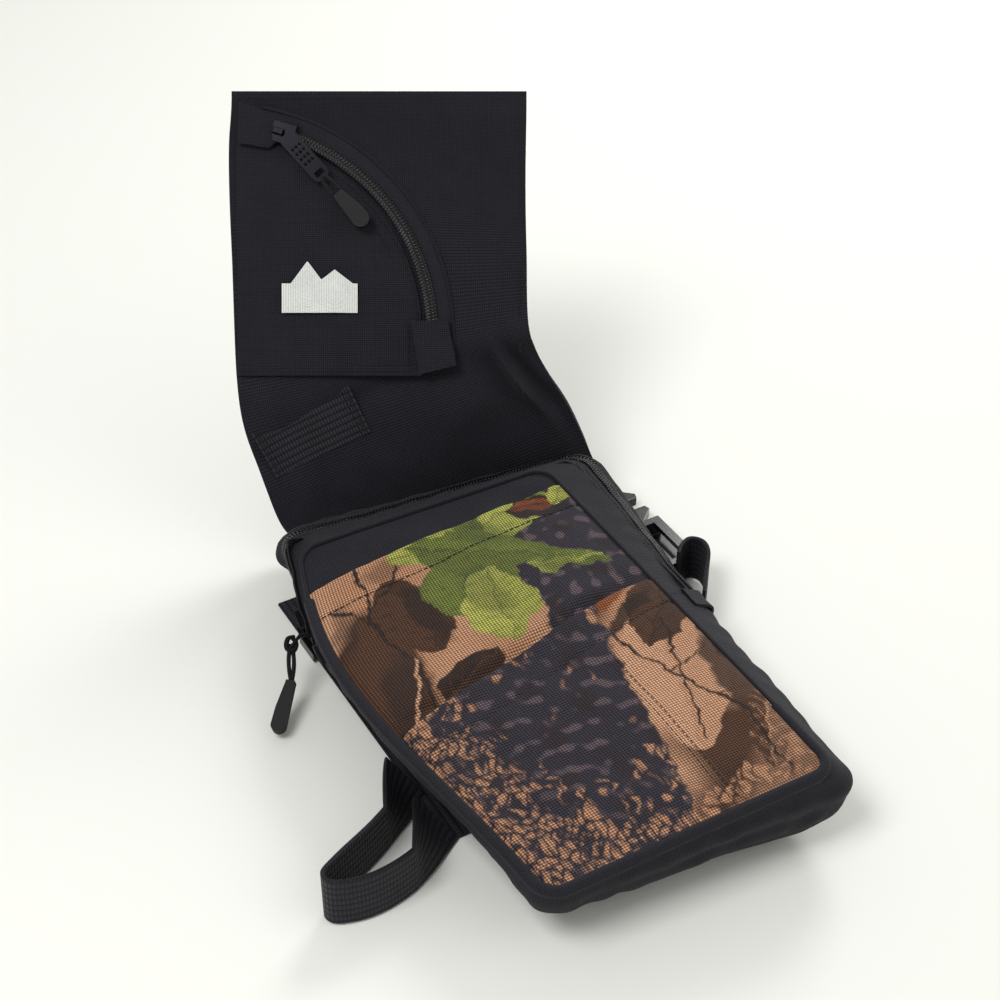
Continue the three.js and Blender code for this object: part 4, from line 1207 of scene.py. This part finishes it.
@dataclass
class FlapShape:
    """The flap as one sheet of cloth, from its seam at the pouch up to its folded top edge."""

    origin: Array = field(default_factory=lambda: np.array([-55.0, 194.2, 79.4]))
    right: Array = field(default_factory=lambda: np.array([0.866, -0.5, 0.0]))
    up: Array = field(default_factory=lambda: np.array([0.3146, 0.545, 0.777]))
    out: Array = field(default_factory=lambda: np.array([-0.389, -0.673, 0.629]))
    size: float = 137.0
    split: float = 0.36              # share of the sheet's height where the root cloth ends and the panel begins
    knots: tuple = (0.0, 0.09, 0.20, 0.28, 0.36, 0.50, 1.0)
    middle_y: float = 62.0           # height up the panel where the last knot but one lies
    top_y: float = 136.0

    def point(self, x: Array, y: Array, z: Array) -> Array:
        """Point of the panel's own plane: across, up and off its inner face."""
        x, y, z = np.broadcast_arrays(*(np.asarray(a, float) for a in (x, y, z)))
        return self.origin + x[..., None] * self.right + y[..., None] * self.up + z[..., None] * self.out

    def rows(self) -> tuple[Array, Array]:
        """Left and right ends of the sheet at each knot, from its seam up."""
        ends = np.array([0.0, self.size])
        top_left, top_right = self.point(ends, self.top_y, 0.0)
        low_left, low_right = self.point(ends, self.middle_y, 0.0)
        left = np.array([[-43.5, 151.5, 8.0], [-49, 160, 14], [-53, 170, 36],
                         [-55, 183, 60], [-52.5, 193.5, 79.5]])
        right = np.array([[98.5, 117.5, 24.0], [87, 122, 56], [77.5, 128.5, 78],
                          [73.8, 135, 90], [73.2, 140, 99.5]])
        return np.vstack([left, low_left, top_left]), np.vstack([right, low_right, top_right])

    def folds(self, u: Array, v: Array) -> Array:
        """How far the cloth's soft folds stand off, in millimetres."""
        low = 1 - ramp(v, 0.34, 0.6)
        seam_free = ramp(v, 0.0, 0.05)
        lean = u + 0.25 * (v - 0.2)
        ridge = 8.0 * bump(lean, 0.90, 0.022) * bump(v, 0.22, 0.09)
        valley = 5.0 * bump(lean, 0.945, 0.02) * bump(v, 0.21, 0.1)
        shoulder = 3.0 * bump(u, 0.72, 0.13) * bump(v, 0.20, 0.07)
        dip = 2.0 * bump(u, 0.86, 0.05) * bump(v, 0.22, 0.09)
        crease = -2.2 * bump(v - 0.12 * (u - 0.2), 0.255, 0.022) * bump(u, 0.22, 0.3)
        hollow = -1.5 * bump(v + 0.15 * (u - 0.5), 0.33, 0.05)
        small = 1.3 * ripple(130 * u, 190 * v, 44, 51) + 0.45 * ripple(130 * u, 190 * v, 19, 52)
        broad = 1.5 * ripple(130 * u, 130 * v, 85, 53)
        near_root = ridge - valley + shoulder - dip + crease + hollow + small
        return near_root * low * seam_free + broad * ramp(v, 0.4, 0.6) * (1 - ramp(v, 0.9, 1.0))

    def sheet(self, u: Array, v: Array, lift: Array) -> Array:
        """Point of the sheet at two shares, lifted off its inner face."""
        left, right = self.rows()

        def level(at: Array) -> tuple[Array, Array]:
            """Point of the flat sheet at a share of its height, and the way across it."""
            start, end = spline(self.knots, left, at), spline(self.knots, right, at)
            return start + (end - start) * u[:, None], end - start

        point, across = level(v)
        rise = level(np.minimum(v + 0.01, 1))[0] - level(np.maximum(v - 0.01, 0))[0]
        normal = unit(np.cross(across, rise))
        return point + normal * (np.asarray(lift) + self.folds(u, v))[:, None]

    def on_panel(self, x: Array, y: Array, lift: Array) -> Array:
        """Point on the panel's cloth at millimetres across and up it."""
        x, y = np.asarray(x, float), np.asarray(y, float)
        upper = 0.50 + (y - self.middle_y) / (self.top_y - self.middle_y) * 0.5
        lower = self.split + (y + 0.5) / (self.middle_y + 0.5) * 0.14
        v = np.where(y < self.middle_y, lower, upper)
        folds = np.where(v > self.split, self.folds(x / self.size, v), 0.0)
        return self.point(x, y, np.asarray(lift) + folds)

    def bend_at_seam(self, obj: bpy.types.Object) -> None:
        """Bakes a piece's placement into its mesh; it doesn't bend the piece."""
        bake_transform(obj)

    def bend_at_root(self, obj: bpy.types.Object) -> None:
        """Bakes a piece's placement into its mesh; it doesn't bend the piece."""
        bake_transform(obj)

    def path(self, x: Array, y: Array, lift: float) -> Path:
        """Path over the panel's cloth."""
        return Path.facing(self.on_panel(x, y, np.full_like(np.asarray(x, float), lift)), self.out)


@dataclass
class Flap:
    """Doubled cloth of the flap, its edge stitching and the webbing sewn at its root."""

    shape: FlapShape
    wardrobe: Wardrobe

    def build(self) -> None:
        """Makes and dresses the flap."""
        shape = self.shape
        root = self.cloth("flap_root_cloth", 0.0, shape.split, ["flap_root"])
        shape.bend_at_seam(root)
        panel = self.cloth("flap_panel_cloth", shape.split, 1.0, ["flap_outer_panel", "flap_lining_panel"])
        shape.bend_at_root(panel)
        self.stitching()
        self.strip()

    def cloth(self, name: str, low: float, high: float, nodes: Sequence[str]) -> bpy.types.Object:
        """Makes and dresses the doubled cloth between two shares of the flap's height."""
        shape, tall = self.shape, 190.0

        def place(u: Array, v: Array) -> Array:
            """Places the cloth."""
            return shape.sheet(u, low + (high - low) * v, np.zeros_like(u))

        def weave(u: Array, v: Array) -> Array:
            """Weave's own plane, shared by both parts of the flap."""
            return stack(u * shape.size, (low + (high - low) * v) * tall, 0.0)

        sheet = cloth_sheet(name, 130, int(230 * (high - low)) + 8, place, weave, 2.4)
        return dress(sheet, self.wardrobe.cloth, body=None, replaces=nodes)

    def stitching(self) -> None:
        """Topstitch inside the edges of the panel."""
        shape, size = self.shape, self.shape.size
        inset = 3.0
        corners = [(inset, 14.0), (inset, 133.0), (size - inset, 133.0), (size - inset, 14.0)]
        rows = []
        for (x0, y0), (x1, y1) in zip(corners, corners[1:]):
            t = np.linspace(0, 1, 60)
            rows.append(shape.path(x0 + (x1 - x0) * t, y0 + (y1 - y0) * t, 0.05))
        shape.bend_at_root(sew("flap_topstitch", rows, self.wardrobe.thread, None, width=FINE_THREAD))

    def strip(self) -> None:
        """Ribbed webbing strip sewn across the root, its ends stitched down."""
        shape = self.shape
        u = np.linspace(0.03, 0.385, 50)
        v = 0.238 + 0.066 * (u - 0.03)
        points = shape.sheet(u, v, np.full_like(u, 0.15))
        above = shape.sheet(u, v, np.full_like(u, 2.0))
        line = Path(points, unit(above - points))
        band = sweep("flap_webbing_band", line, tape_section(12.6, 1.5), steps=1.0)
        shape.bend_at_seam(dress(band, self.wardrobe.webbing, None, ["flap_webbing_strip"]))
        _, side, out = line.frames()
        rows = []
        for at in (2, 4, 45, 47):
            across = np.linspace(-11.5, 11.5, 16)[:, None]
            rows.append(Path.facing(line.points[at] + side[at] * across + out[at] * 1.6, out[at]))
        sewn = sew("flap_band_stitches", rows, self.wardrobe.thread, None, 2.6)
        shape.bend_at_seam(sewn)


@dataclass
class FlapZip:
    """The flap's curved pocket: herringbone tape, coil chain, pocket cloth, end covers and pull."""

    shape: FlapShape
    wardrobe: Wardrobe
    centre: tuple[float, float] = (-3.65, 23.1)
    radius: float = 96.7
    open_angle: float = 80.0

    def curve(self, offset: float, below: float = 8.0) -> tuple[Array, Array]:
        """Points of a line beside the zip, up its straight end and round its arc."""
        cx, cy = self.centre
        straight = np.linspace(below, cy, 16)[:-1]
        angle = np.radians(np.linspace(0, self.open_angle, 120))
        r = self.radius + offset
        return (np.concatenate([np.full_like(straight, cx + r), cx + r * np.cos(angle)]),
                np.concatenate([straight, cy + r * np.sin(angle)]))

    def build(self) -> None:
        """Makes and dresses the pocket."""
        shape = self.shape
        zipper = CoilZip(self.wardrobe)
        line = shape.path(*self.curve(5.2), 0.35)
        outer = sweep("flap_zip_outer_tape", line, tape_section(4.9, 0.6), steps=1.4)
        tapes = ["flap_zip_tape_outer", "flap_zip_tape_inner"]
        shape.bend_at_root(dress(outer, self.wardrobe.tape, None, tapes))
        piping = sweep("flap_zip_edge_roll", shape.path(*self.curve(9.8), 0.7), oval(0.9, 0.8, 10), steps=1.4)
        shape.bend_at_root(dress(piping, self.wardrobe.cloth, None))
        line = shape.path(*self.curve(0.0), 1.9)
        shape.bend_at_root(zipper.chain("flap_zip_coils", line, None, ["flap_zip_chain"]))
        self.pocket()
        self.covers()
        self.badge()
        self.pull()

    def pocket(self) -> None:
        """Pocket cloth inside the arc, stitched along the zip and hemmed at the bottom."""
        shape = self.shape
        knots_x, knots_y = self.curve(-4.6, 3.8)
        along = np.linspace(0, 1, len(knots_x))

        def flat(u: Array, v: Array) -> tuple[Array, Array]:
            """Place in the panel's plane: u from the left edge out to the zip, v along the zip."""
            ax, ay = np.interp(v, along, knots_x), np.interp(v, along, knots_y)
            bx, by = np.full_like(v, 2.6), 3.8 + v * 110.0
            return bx + (ax - bx) * u, by + (ay - by) * u

        def place(u: Array, v: Array) -> Array:
            """Places the pocket, slack in its middle."""
            x, y = flat(u, v)
            slack = 1.6 * np.sin(math.pi * u) ** 0.7 * np.sin(math.pi * np.clip(v, 0, 1)) ** 0.5
            folds = 0.7 * ripple(x, y, 55, 61) * slack
            return shape.on_panel(x, y, 1.5 + slack * 0.8 + folds)

        sheet = cloth_sheet("flap_pocket_cloth", 110, 150, place,
                            lambda u, v: stack(*flat(u, v), 0.0), 1.0)
        shape.bend_at_root(dress(sheet, self.wardrobe.cloth, None, ["flap_pocket_panel"]))
        rows = []
        for inset in (1.6, 6.2):
            rows.append(shape.path(*self.curve(-4.6 - inset, 8.0), 1.9))
        x = np.linspace(4, 84, 60)
        for y in (6.0, 9.0):
            rows.append(shape.path(x, np.full_like(x, y), 1.9))
        shape.bend_at_root(sew("flap_pocket_stitches", rows, self.wardrobe.thread, None, width=FINE_THREAD))

    def covers(self) -> None:
        """Cloth patches over both ends of the zip."""
        shape = self.shape
        corners = {"flap_zip_cover_upper": [(3.7, 130.4), (31.6, 120.2), (17.6, 108.6), (3.7, 110.9)],
                   "flap_zip_cover_lower": [(83.6, 28.8), (100.3, 29.7), (104.5, 8.3), (87.3, 4.1)]}
        for node, quad in corners.items():
            q = np.array(quad)

            def flat(u: Array, v: Array, q: Array = q) -> Array:
                """Place in the panel's plane."""
                u, v = u[:, None], v[:, None]
                return (q[0] * (1 - u) + q[1] * u) * (1 - v) + (q[3] * (1 - u) + q[2] * u) * v

            def place(u: Array, v: Array, flat: Place = flat) -> Array:
                """Places the patch, domed over the zip's end."""
                return shape.on_panel(*flat(u, v).T, 4.0 + 0.6 * np.sin(math.pi * u))

            sheet = cloth_sheet(node + "_cloth", 20, 20, place,
                                lambda u, v, flat=flat: stack(*flat(u, v).T, 0.0), 0.9)
            shape.bend_at_root(dress(sheet, self.wardrobe.cloth, None, [node]))
            ring = np.vstack([q, q[:1]])
            middle = q.mean(axis=0)
            inner = middle + (ring - middle) * 0.84
            t = np.linspace(0, 4, 60)
            x, y = np.interp(t, range(5), inner[:, 0]), np.interp(t, range(5), inner[:, 1])
            row = stitch_row(node + "_stitches", shape.path(x, y, 4.55), 2.6, FINE_THREAD)
            shape.bend_at_root(dress(row, self.wardrobe.thread, None))

    def badge(self) -> None:
        """Plain woven patch of a generic mountain outline."""
        shape = self.shape
        cx, cy, w, h = 41.3, 45.0, 35.0, 24.6

        def top(u: Array) -> Array:
            """Skyline of the patch, as a share of its height."""
            tall_peak = np.maximum(1 - np.abs(u - 0.34) / 0.22, 0)
            low_peak = 0.62 * np.maximum(1 - np.abs(u - 0.70) / 0.24, 0)
            return 0.55 + 0.42 * np.maximum(tall_peak, low_peak)

        def place(u: Array, v: Array) -> Array:
            """Places the patch."""
            x, y = cx + (u - 0.5) * w, cy - h / 2 + h * v * top(u)
            return shape.on_panel(x, y, np.full_like(x, 4.2))

        sheet = cloth_sheet("flap_badge", 60, 20, place, flat_plane(w, h), 0.8)
        dress(sheet, self.wardrobe.badge, Body.FLAP)

    def pull(self) -> None:
        """Raised dots on the tab and the short double cord through its slot."""
        shape = self.shape
        angle, lay = math.radians(73.0), math.radians(-48.0)
        base = np.array(self.centre) + self.radius * np.array([math.cos(angle), math.sin(angle)])
        way, side = np.array([math.cos(lay), math.sin(lay)]), np.array([-math.sin(lay), math.cos(lay)])

        def at(along: float, aside: float, lift: float) -> Array:
            """Point beside the tab's middle line."""
            x, y = base + way * along + side * aside
            return shape.point(x, y, lift)

        dots = []
        for i in range(4):
            for j in (-1, 0, 1):
                bpy.ops.mesh.primitive_uv_sphere_add(segments=10, ring_count=6, radius=0.75 * MM,
                                                     location=tuple(at(9 + 3.0 * i, 2.1 * j, 7.15) * MM))
                dots.append(bpy.context.object)
        dress(join("flap_tab_dots", dots), self.wardrobe.metal, Body.TAB)
        smooth(dots[0], SOFT_ANGLE)
        t = np.linspace(0, 1, 60)
        x, y = 37 - 9.6 * np.sin(math.pi * t) ** 0.6, 1.9 * np.cos(math.pi * t)
        line = np.array([at(a, b, 7.3 if a > 31 else 7.0) for a, b in zip(x, y)])
        loop = sweep("flap_pull_braid", Path.facing(line, shape.out), oval(0.85, 0.85, 10), steps=0.8)
        dress(loop, self.wardrobe.cord, Body.TAB, ["flap_pull_cord"])


# ---- webbing -------------------------------------------------------------------------------------


@dataclass
class Strap:
    """The webbing: a standing loop, a flat run under the pouch, a hank and the buckle end."""

    wardrobe: Wardrobe
    width: float = 25.5
    thickness: float = 1.6
    hank_y: float = 113.75
    LOOP = ((-70.5, -15.5), (-78, -20.5), (-90, -27.5), (-105, -35), (-121, -41.5), (-128.2, -46),
            (-126, -52), (-114, -56), (-98, -54.5), (-84, -49), (-70.5, -40.5))
    SIDE_LOOP = ((90.5, 14), (99, 24), (108, 35), (110.3, 43), (106.5, 48), (100.5, 46.5), (95.5, 42))

    def standing(self, name: str, route: Sequence[tuple[float, float]], lean: bool, node: str) -> None:
        """Webbing on its edge along a bent route.

        Args:
            name: the piece's name.
            route: middle line on the table.
            lean: whether it leans over near the pouch.
            node: frame node that it stands for.
        """
        knots = list(range(len(route)))
        line = spline(knots, np.array(route, float), np.linspace(0, len(route) - 1, 40 * len(route)))
        near = np.clip((92 - np.abs(line[:, 0])) / 21.5, 0, 1)
        turn = np.where(line[:, 0] < 0, math.radians(60) * near, 0.0) * lean
        way = unit(np.gradient(line, axis=0))
        half = self.width / 2
        middle = stack(line[:, 0], line[:, 1] + half * np.sin(turn),
                       half * np.cos(turn) + self.thickness / 2 * np.sin(turn) + 0.1)
        rise = stack(np.zeros(len(line)), np.sin(turn), np.cos(turn))
        way3 = stack(way[:, 0], way[:, 1], np.zeros(len(line)))
        out = unit(np.cross(way3, rise))
        # the webbing waves a little from side to side
        middle = middle + out * (0.35 * ripple(line[:, 0], line[:, 1], 30, 71))[:, None]
        section = tape_section(half - 0.1, self.thickness, -self.thickness / 2)
        band = sweep(name, Path(middle, out), section, steps=0.9)
        dress(band, self.wardrobe.webbing, Body.BAG, [node])

    def build(self) -> None:
        """Makes and dresses the webbing."""
        self.standing("strap_loop_webbing", self.LOOP, True, "strap_loop")
        self.standing("side_loop_webbing", self.SIDE_LOOP, False, "side_loop")
        run = [(-56.35, y, 0.0) for y in np.linspace(-38, 126.5, 30)]
        self.flat("strap_run_webbing", run, "strap_run")
        hank = []
        for fold in range(4):
            shares = np.linspace(0.02, 0.98, 20) if fold % 2 == 0 else np.linspace(0.98, 0.02, 20)
            hank.extend((48 - 91 * t, self.hank_y, 1.3 + 1.75 * fold) for t in shares)
        self.flat("strap_hank_webbing", hank, "strap_hank", 1.4)
        self.flat("strap_end_webbing", [(x, 100.55, 3.0) for x in np.linspace(48.4, 61.6, 12)], "strap_end")
        self.keeper()

    def keeper(self) -> None:
        """Elastic band round the hank."""
        angle = np.linspace(0, math.tau, 80)
        c, s = np.cos(angle), np.sin(angle)
        around = stack(0.0, 13.1 * np.sign(c) * np.abs(c) ** 0.35, 3.6 * np.sign(s) * np.abs(s) ** 0.5)
        path = Path(around + [5.0, self.hank_y, 4.45], unit(around))
        band = sweep("strap_keeper_elastic", path, tape_section(5.0, 0.8, -0.4), closed=True, steps=1.2)
        dress(band, self.wardrobe.tape, Body.BAG, ["strap_keeper"])

    def flat(self, name: str, route: Sequence[tuple[float, float, float]], node: str,
             thickness: float = 1.6) -> None:
        """Webbing lying flat along a route."""
        path = Path.facing(np.array(route, float), [0.0, 0.0, 1.0])
        band = sweep(name, path, tape_section(self.width / 2 - 0.1, thickness), steps=1.5)
        dress(band, self.wardrobe.webbing, Body.BAG, [node])


# ---- hardware, inside and studio -----------------------------------------------------------------


class Hardware:
    """The frame's own moulded and cast pieces, softened at their edges."""

    NODES = {
        Finish.METAL: ("main_slider", "flap_slider", "flap_pull_tab"),
        Finish.GRIP: ("main_pull_grip", "flap_pull_grip"),
        Finish.ACETAL: ("strap_adjuster", "buckle_male", "buckle_prong_upper", "buckle_prong_lower",
                        "buckle_female"),
    }

    def __init__(self, wardrobe: Wardrobe) -> None:
        """Keeps the finishes."""
        self.wardrobe = wardrobe

    def build(self) -> None:
        """Rounds and dresses each piece."""
        finishes = self.wardrobe.by_slot()
        for finish, name in ((finish, name) for finish, names in self.NODES.items() for name in names):
            obj = bpy.data.objects[name]
            obj.data.materials.clear()
            obj.data.materials.append(finishes[finish.value])
            weld = obj.modifiers.new("weld", "WELD")
            weld.merge_threshold = 0.02 * MM
            bevel = obj.modifiers.new("bevel", "BEVEL")
            bevel.width = 0.35 * MM
            bevel.segments = 2
            bevel.limit_method = "ANGLE"
            bevel.angle_limit = math.radians(40)
            LOG.info("%s kept and rounded", name)


class Inside:
    """Lining and foam, seen only through an open zip."""

    def __init__(self, shape: PouchShape, wardrobe: Wardrobe) -> None:
        """Keeps the shape and finishes."""
        self.shape, self.wardrobe = shape, wardrobe

    def build(self) -> None:
        """Makes and dresses the inner layers."""
        shape = self.shape
        finishes = self.wardrobe.by_slot()
        layers = (("front_lining_cloth", "front_lining", shape.depth - 2.6, 0.5, Finish.LINING),
                  ("back_lining_cloth", "back_lining", 5.2, 0.5, Finish.LINING),
                  ("back_foam_sheet", "back_foam", 4.2, 2.6, Finish.FOAM))
        for name, node, depth, thickness, finish in layers:
            sheet = cloth_sheet(name, 50, 80, lambda u, v, depth=depth: self.place(u, v, depth),
                                flat_plane(shape.width, shape.height), thickness)
            dress(sheet, finishes[finish.value], replaces=[node])
        start = shape.left_side(shape.zip_left_y) - shape.seam_length
        end = shape.right_side(shape.zip_right_y)
        count = int((end - start) / 3)

        def sleeve(u: Array, v: Array) -> Array:
            """Places the lining sleeve inside the gusset."""
            s, d = start + u * (end - start), 6.0 + v * (shape.depth - 10.0)
            return shape.gusset_face(s, d, np.full_like(s, -2.6))

        sheet = cloth_sheet("lining_sleeve_cloth", count, 24, sleeve, flat_plane(400.0, shape.depth), 0.4)
        dress(sheet, self.wardrobe.lining, replaces=["lining_sleeve"])

    def place(self, u: Array, v: Array, depth: float) -> Array:
        """Places an inner layer at a depth."""
        shape = self.shape
        half_w, half_h = shape.width / 2 - 4, shape.height / 2 - 4
        x, y = shape.round_corner((u - 0.5) * 2 * half_w, (v - 0.5) * 2 * half_h,
                                  half_w, half_h, shape.radius - 4)
        point = shape.slump(x, y, np.full_like(x, depth))
        if depth > shape.depth / 2:
            point[:, 2] += shape.front_relief(x, y) - 0.4
        return point


@dataclass
class Studio:
    """Camera, soft lights and a plain pale floor."""

    eye: tuple[float, float, float] = (-306.9, -491.0, 592.6)
    lens: float = 68.4

    def build(self) -> None:
        """Places the camera first, then the floor and lights."""
        camera = bpy.data.objects.new("camera", bpy.data.cameras.new("camera"))
        bpy.context.scene.collection.objects.link(camera)
        camera.data.lens, camera.data.sensor_width = self.lens, 36.0
        camera.data.clip_start, camera.data.clip_end = 0.01, 20.0
        right, up, back = (0.866, -0.5, 0.0), (0.3146, 0.545, 0.777), (-0.389, -0.673, 0.629)
        camera.matrix_world = self.stand(right, up, back, [c * MM for c in self.eye])
        bpy.context.scene.camera = camera
        self.floor()
        self.light("key", (-0.8, -0.2, 1.4), (0.0, 0.05, 0.05), 0.6, 15.0)
        self.light("fill", (0.9, -0.9, 1.0), (0.0, 0.0, 0.05), 1.2, 4.0)
        self.light("rim", (0.9, 0.7, 0.9), (0.0, 0.1, 0.05), 0.5, 9.0)
        world = bpy.data.worlds.new("studio")
        world.use_nodes = True
        backdrop = world.node_tree.nodes["Background"]
        backdrop.inputs["Color"].default_value = linear("#f5f6f0")
        backdrop.inputs["Strength"].default_value = 0.62
        bpy.context.scene.world = world
        bpy.context.scene.view_settings.view_transform = "Standard"

    @staticmethod
    def stand(right: Sequence[float], up: Sequence[float], back: Sequence[float],
              place: Sequence[float]) -> Matrix:
        """Returns the matrix of something at a place, turned to three axes."""
        return Matrix([[*axis, 0.0] for axis in (right, up, back)] + [[*place, 1.0]]).transposed()

    def floor(self) -> None:
        """Plain pale floor, a hair below the bag."""
        bpy.ops.mesh.primitive_plane_add(size=8.0, location=(0, 0, -0.0006))
        floor = bpy.context.object
        floor.name = "floor"
        material, _, shader = blank("matt_white_board")
        shader.inputs["Base Color"].default_value = linear("#dededa")
        shader.inputs["Roughness"].default_value = 0.9
        shader.inputs["Specular IOR Level"].default_value = 0.1
        floor.data.materials.append(material)

    def light(self, name: str, place: Sequence[float], target: Sequence[float], size: float,
              power: float) -> None:
        """Adds a square soft light aimed at a target."""
        lamp = bpy.data.objects.new(name, bpy.data.lights.new(name, "AREA"))
        bpy.context.scene.collection.objects.link(lamp)
        lamp.data.size, lamp.data.energy = size, power
        back = unit(np.array(place) - np.array(target))
        right = unit(np.cross([0.0, 0.0, 1.0], back))
        up = np.cross(back, right)
        lamp.matrix_world = self.stand(right, up, back, place)


def main() -> None:
    """Builds every piece in order."""
    logging.basicConfig(level=logging.INFO, format="%(message)s")
    Studio().build()
    wardrobe = Wardrobe()
    pouch, flap = PouchShape(), FlapShape()
    makers = [
        Pouch(pouch, wardrobe), Inside(pouch, wardrobe), Pockets(pouch, wardrobe), MainZip(pouch, wardrobe),
        Flap(flap, wardrobe), FlapZip(flap, wardrobe), Strap(wardrobe), Hardware(wardrobe),
    ]
    for maker in makers:
        maker.build()


if __name__ == "__main__":
    main()
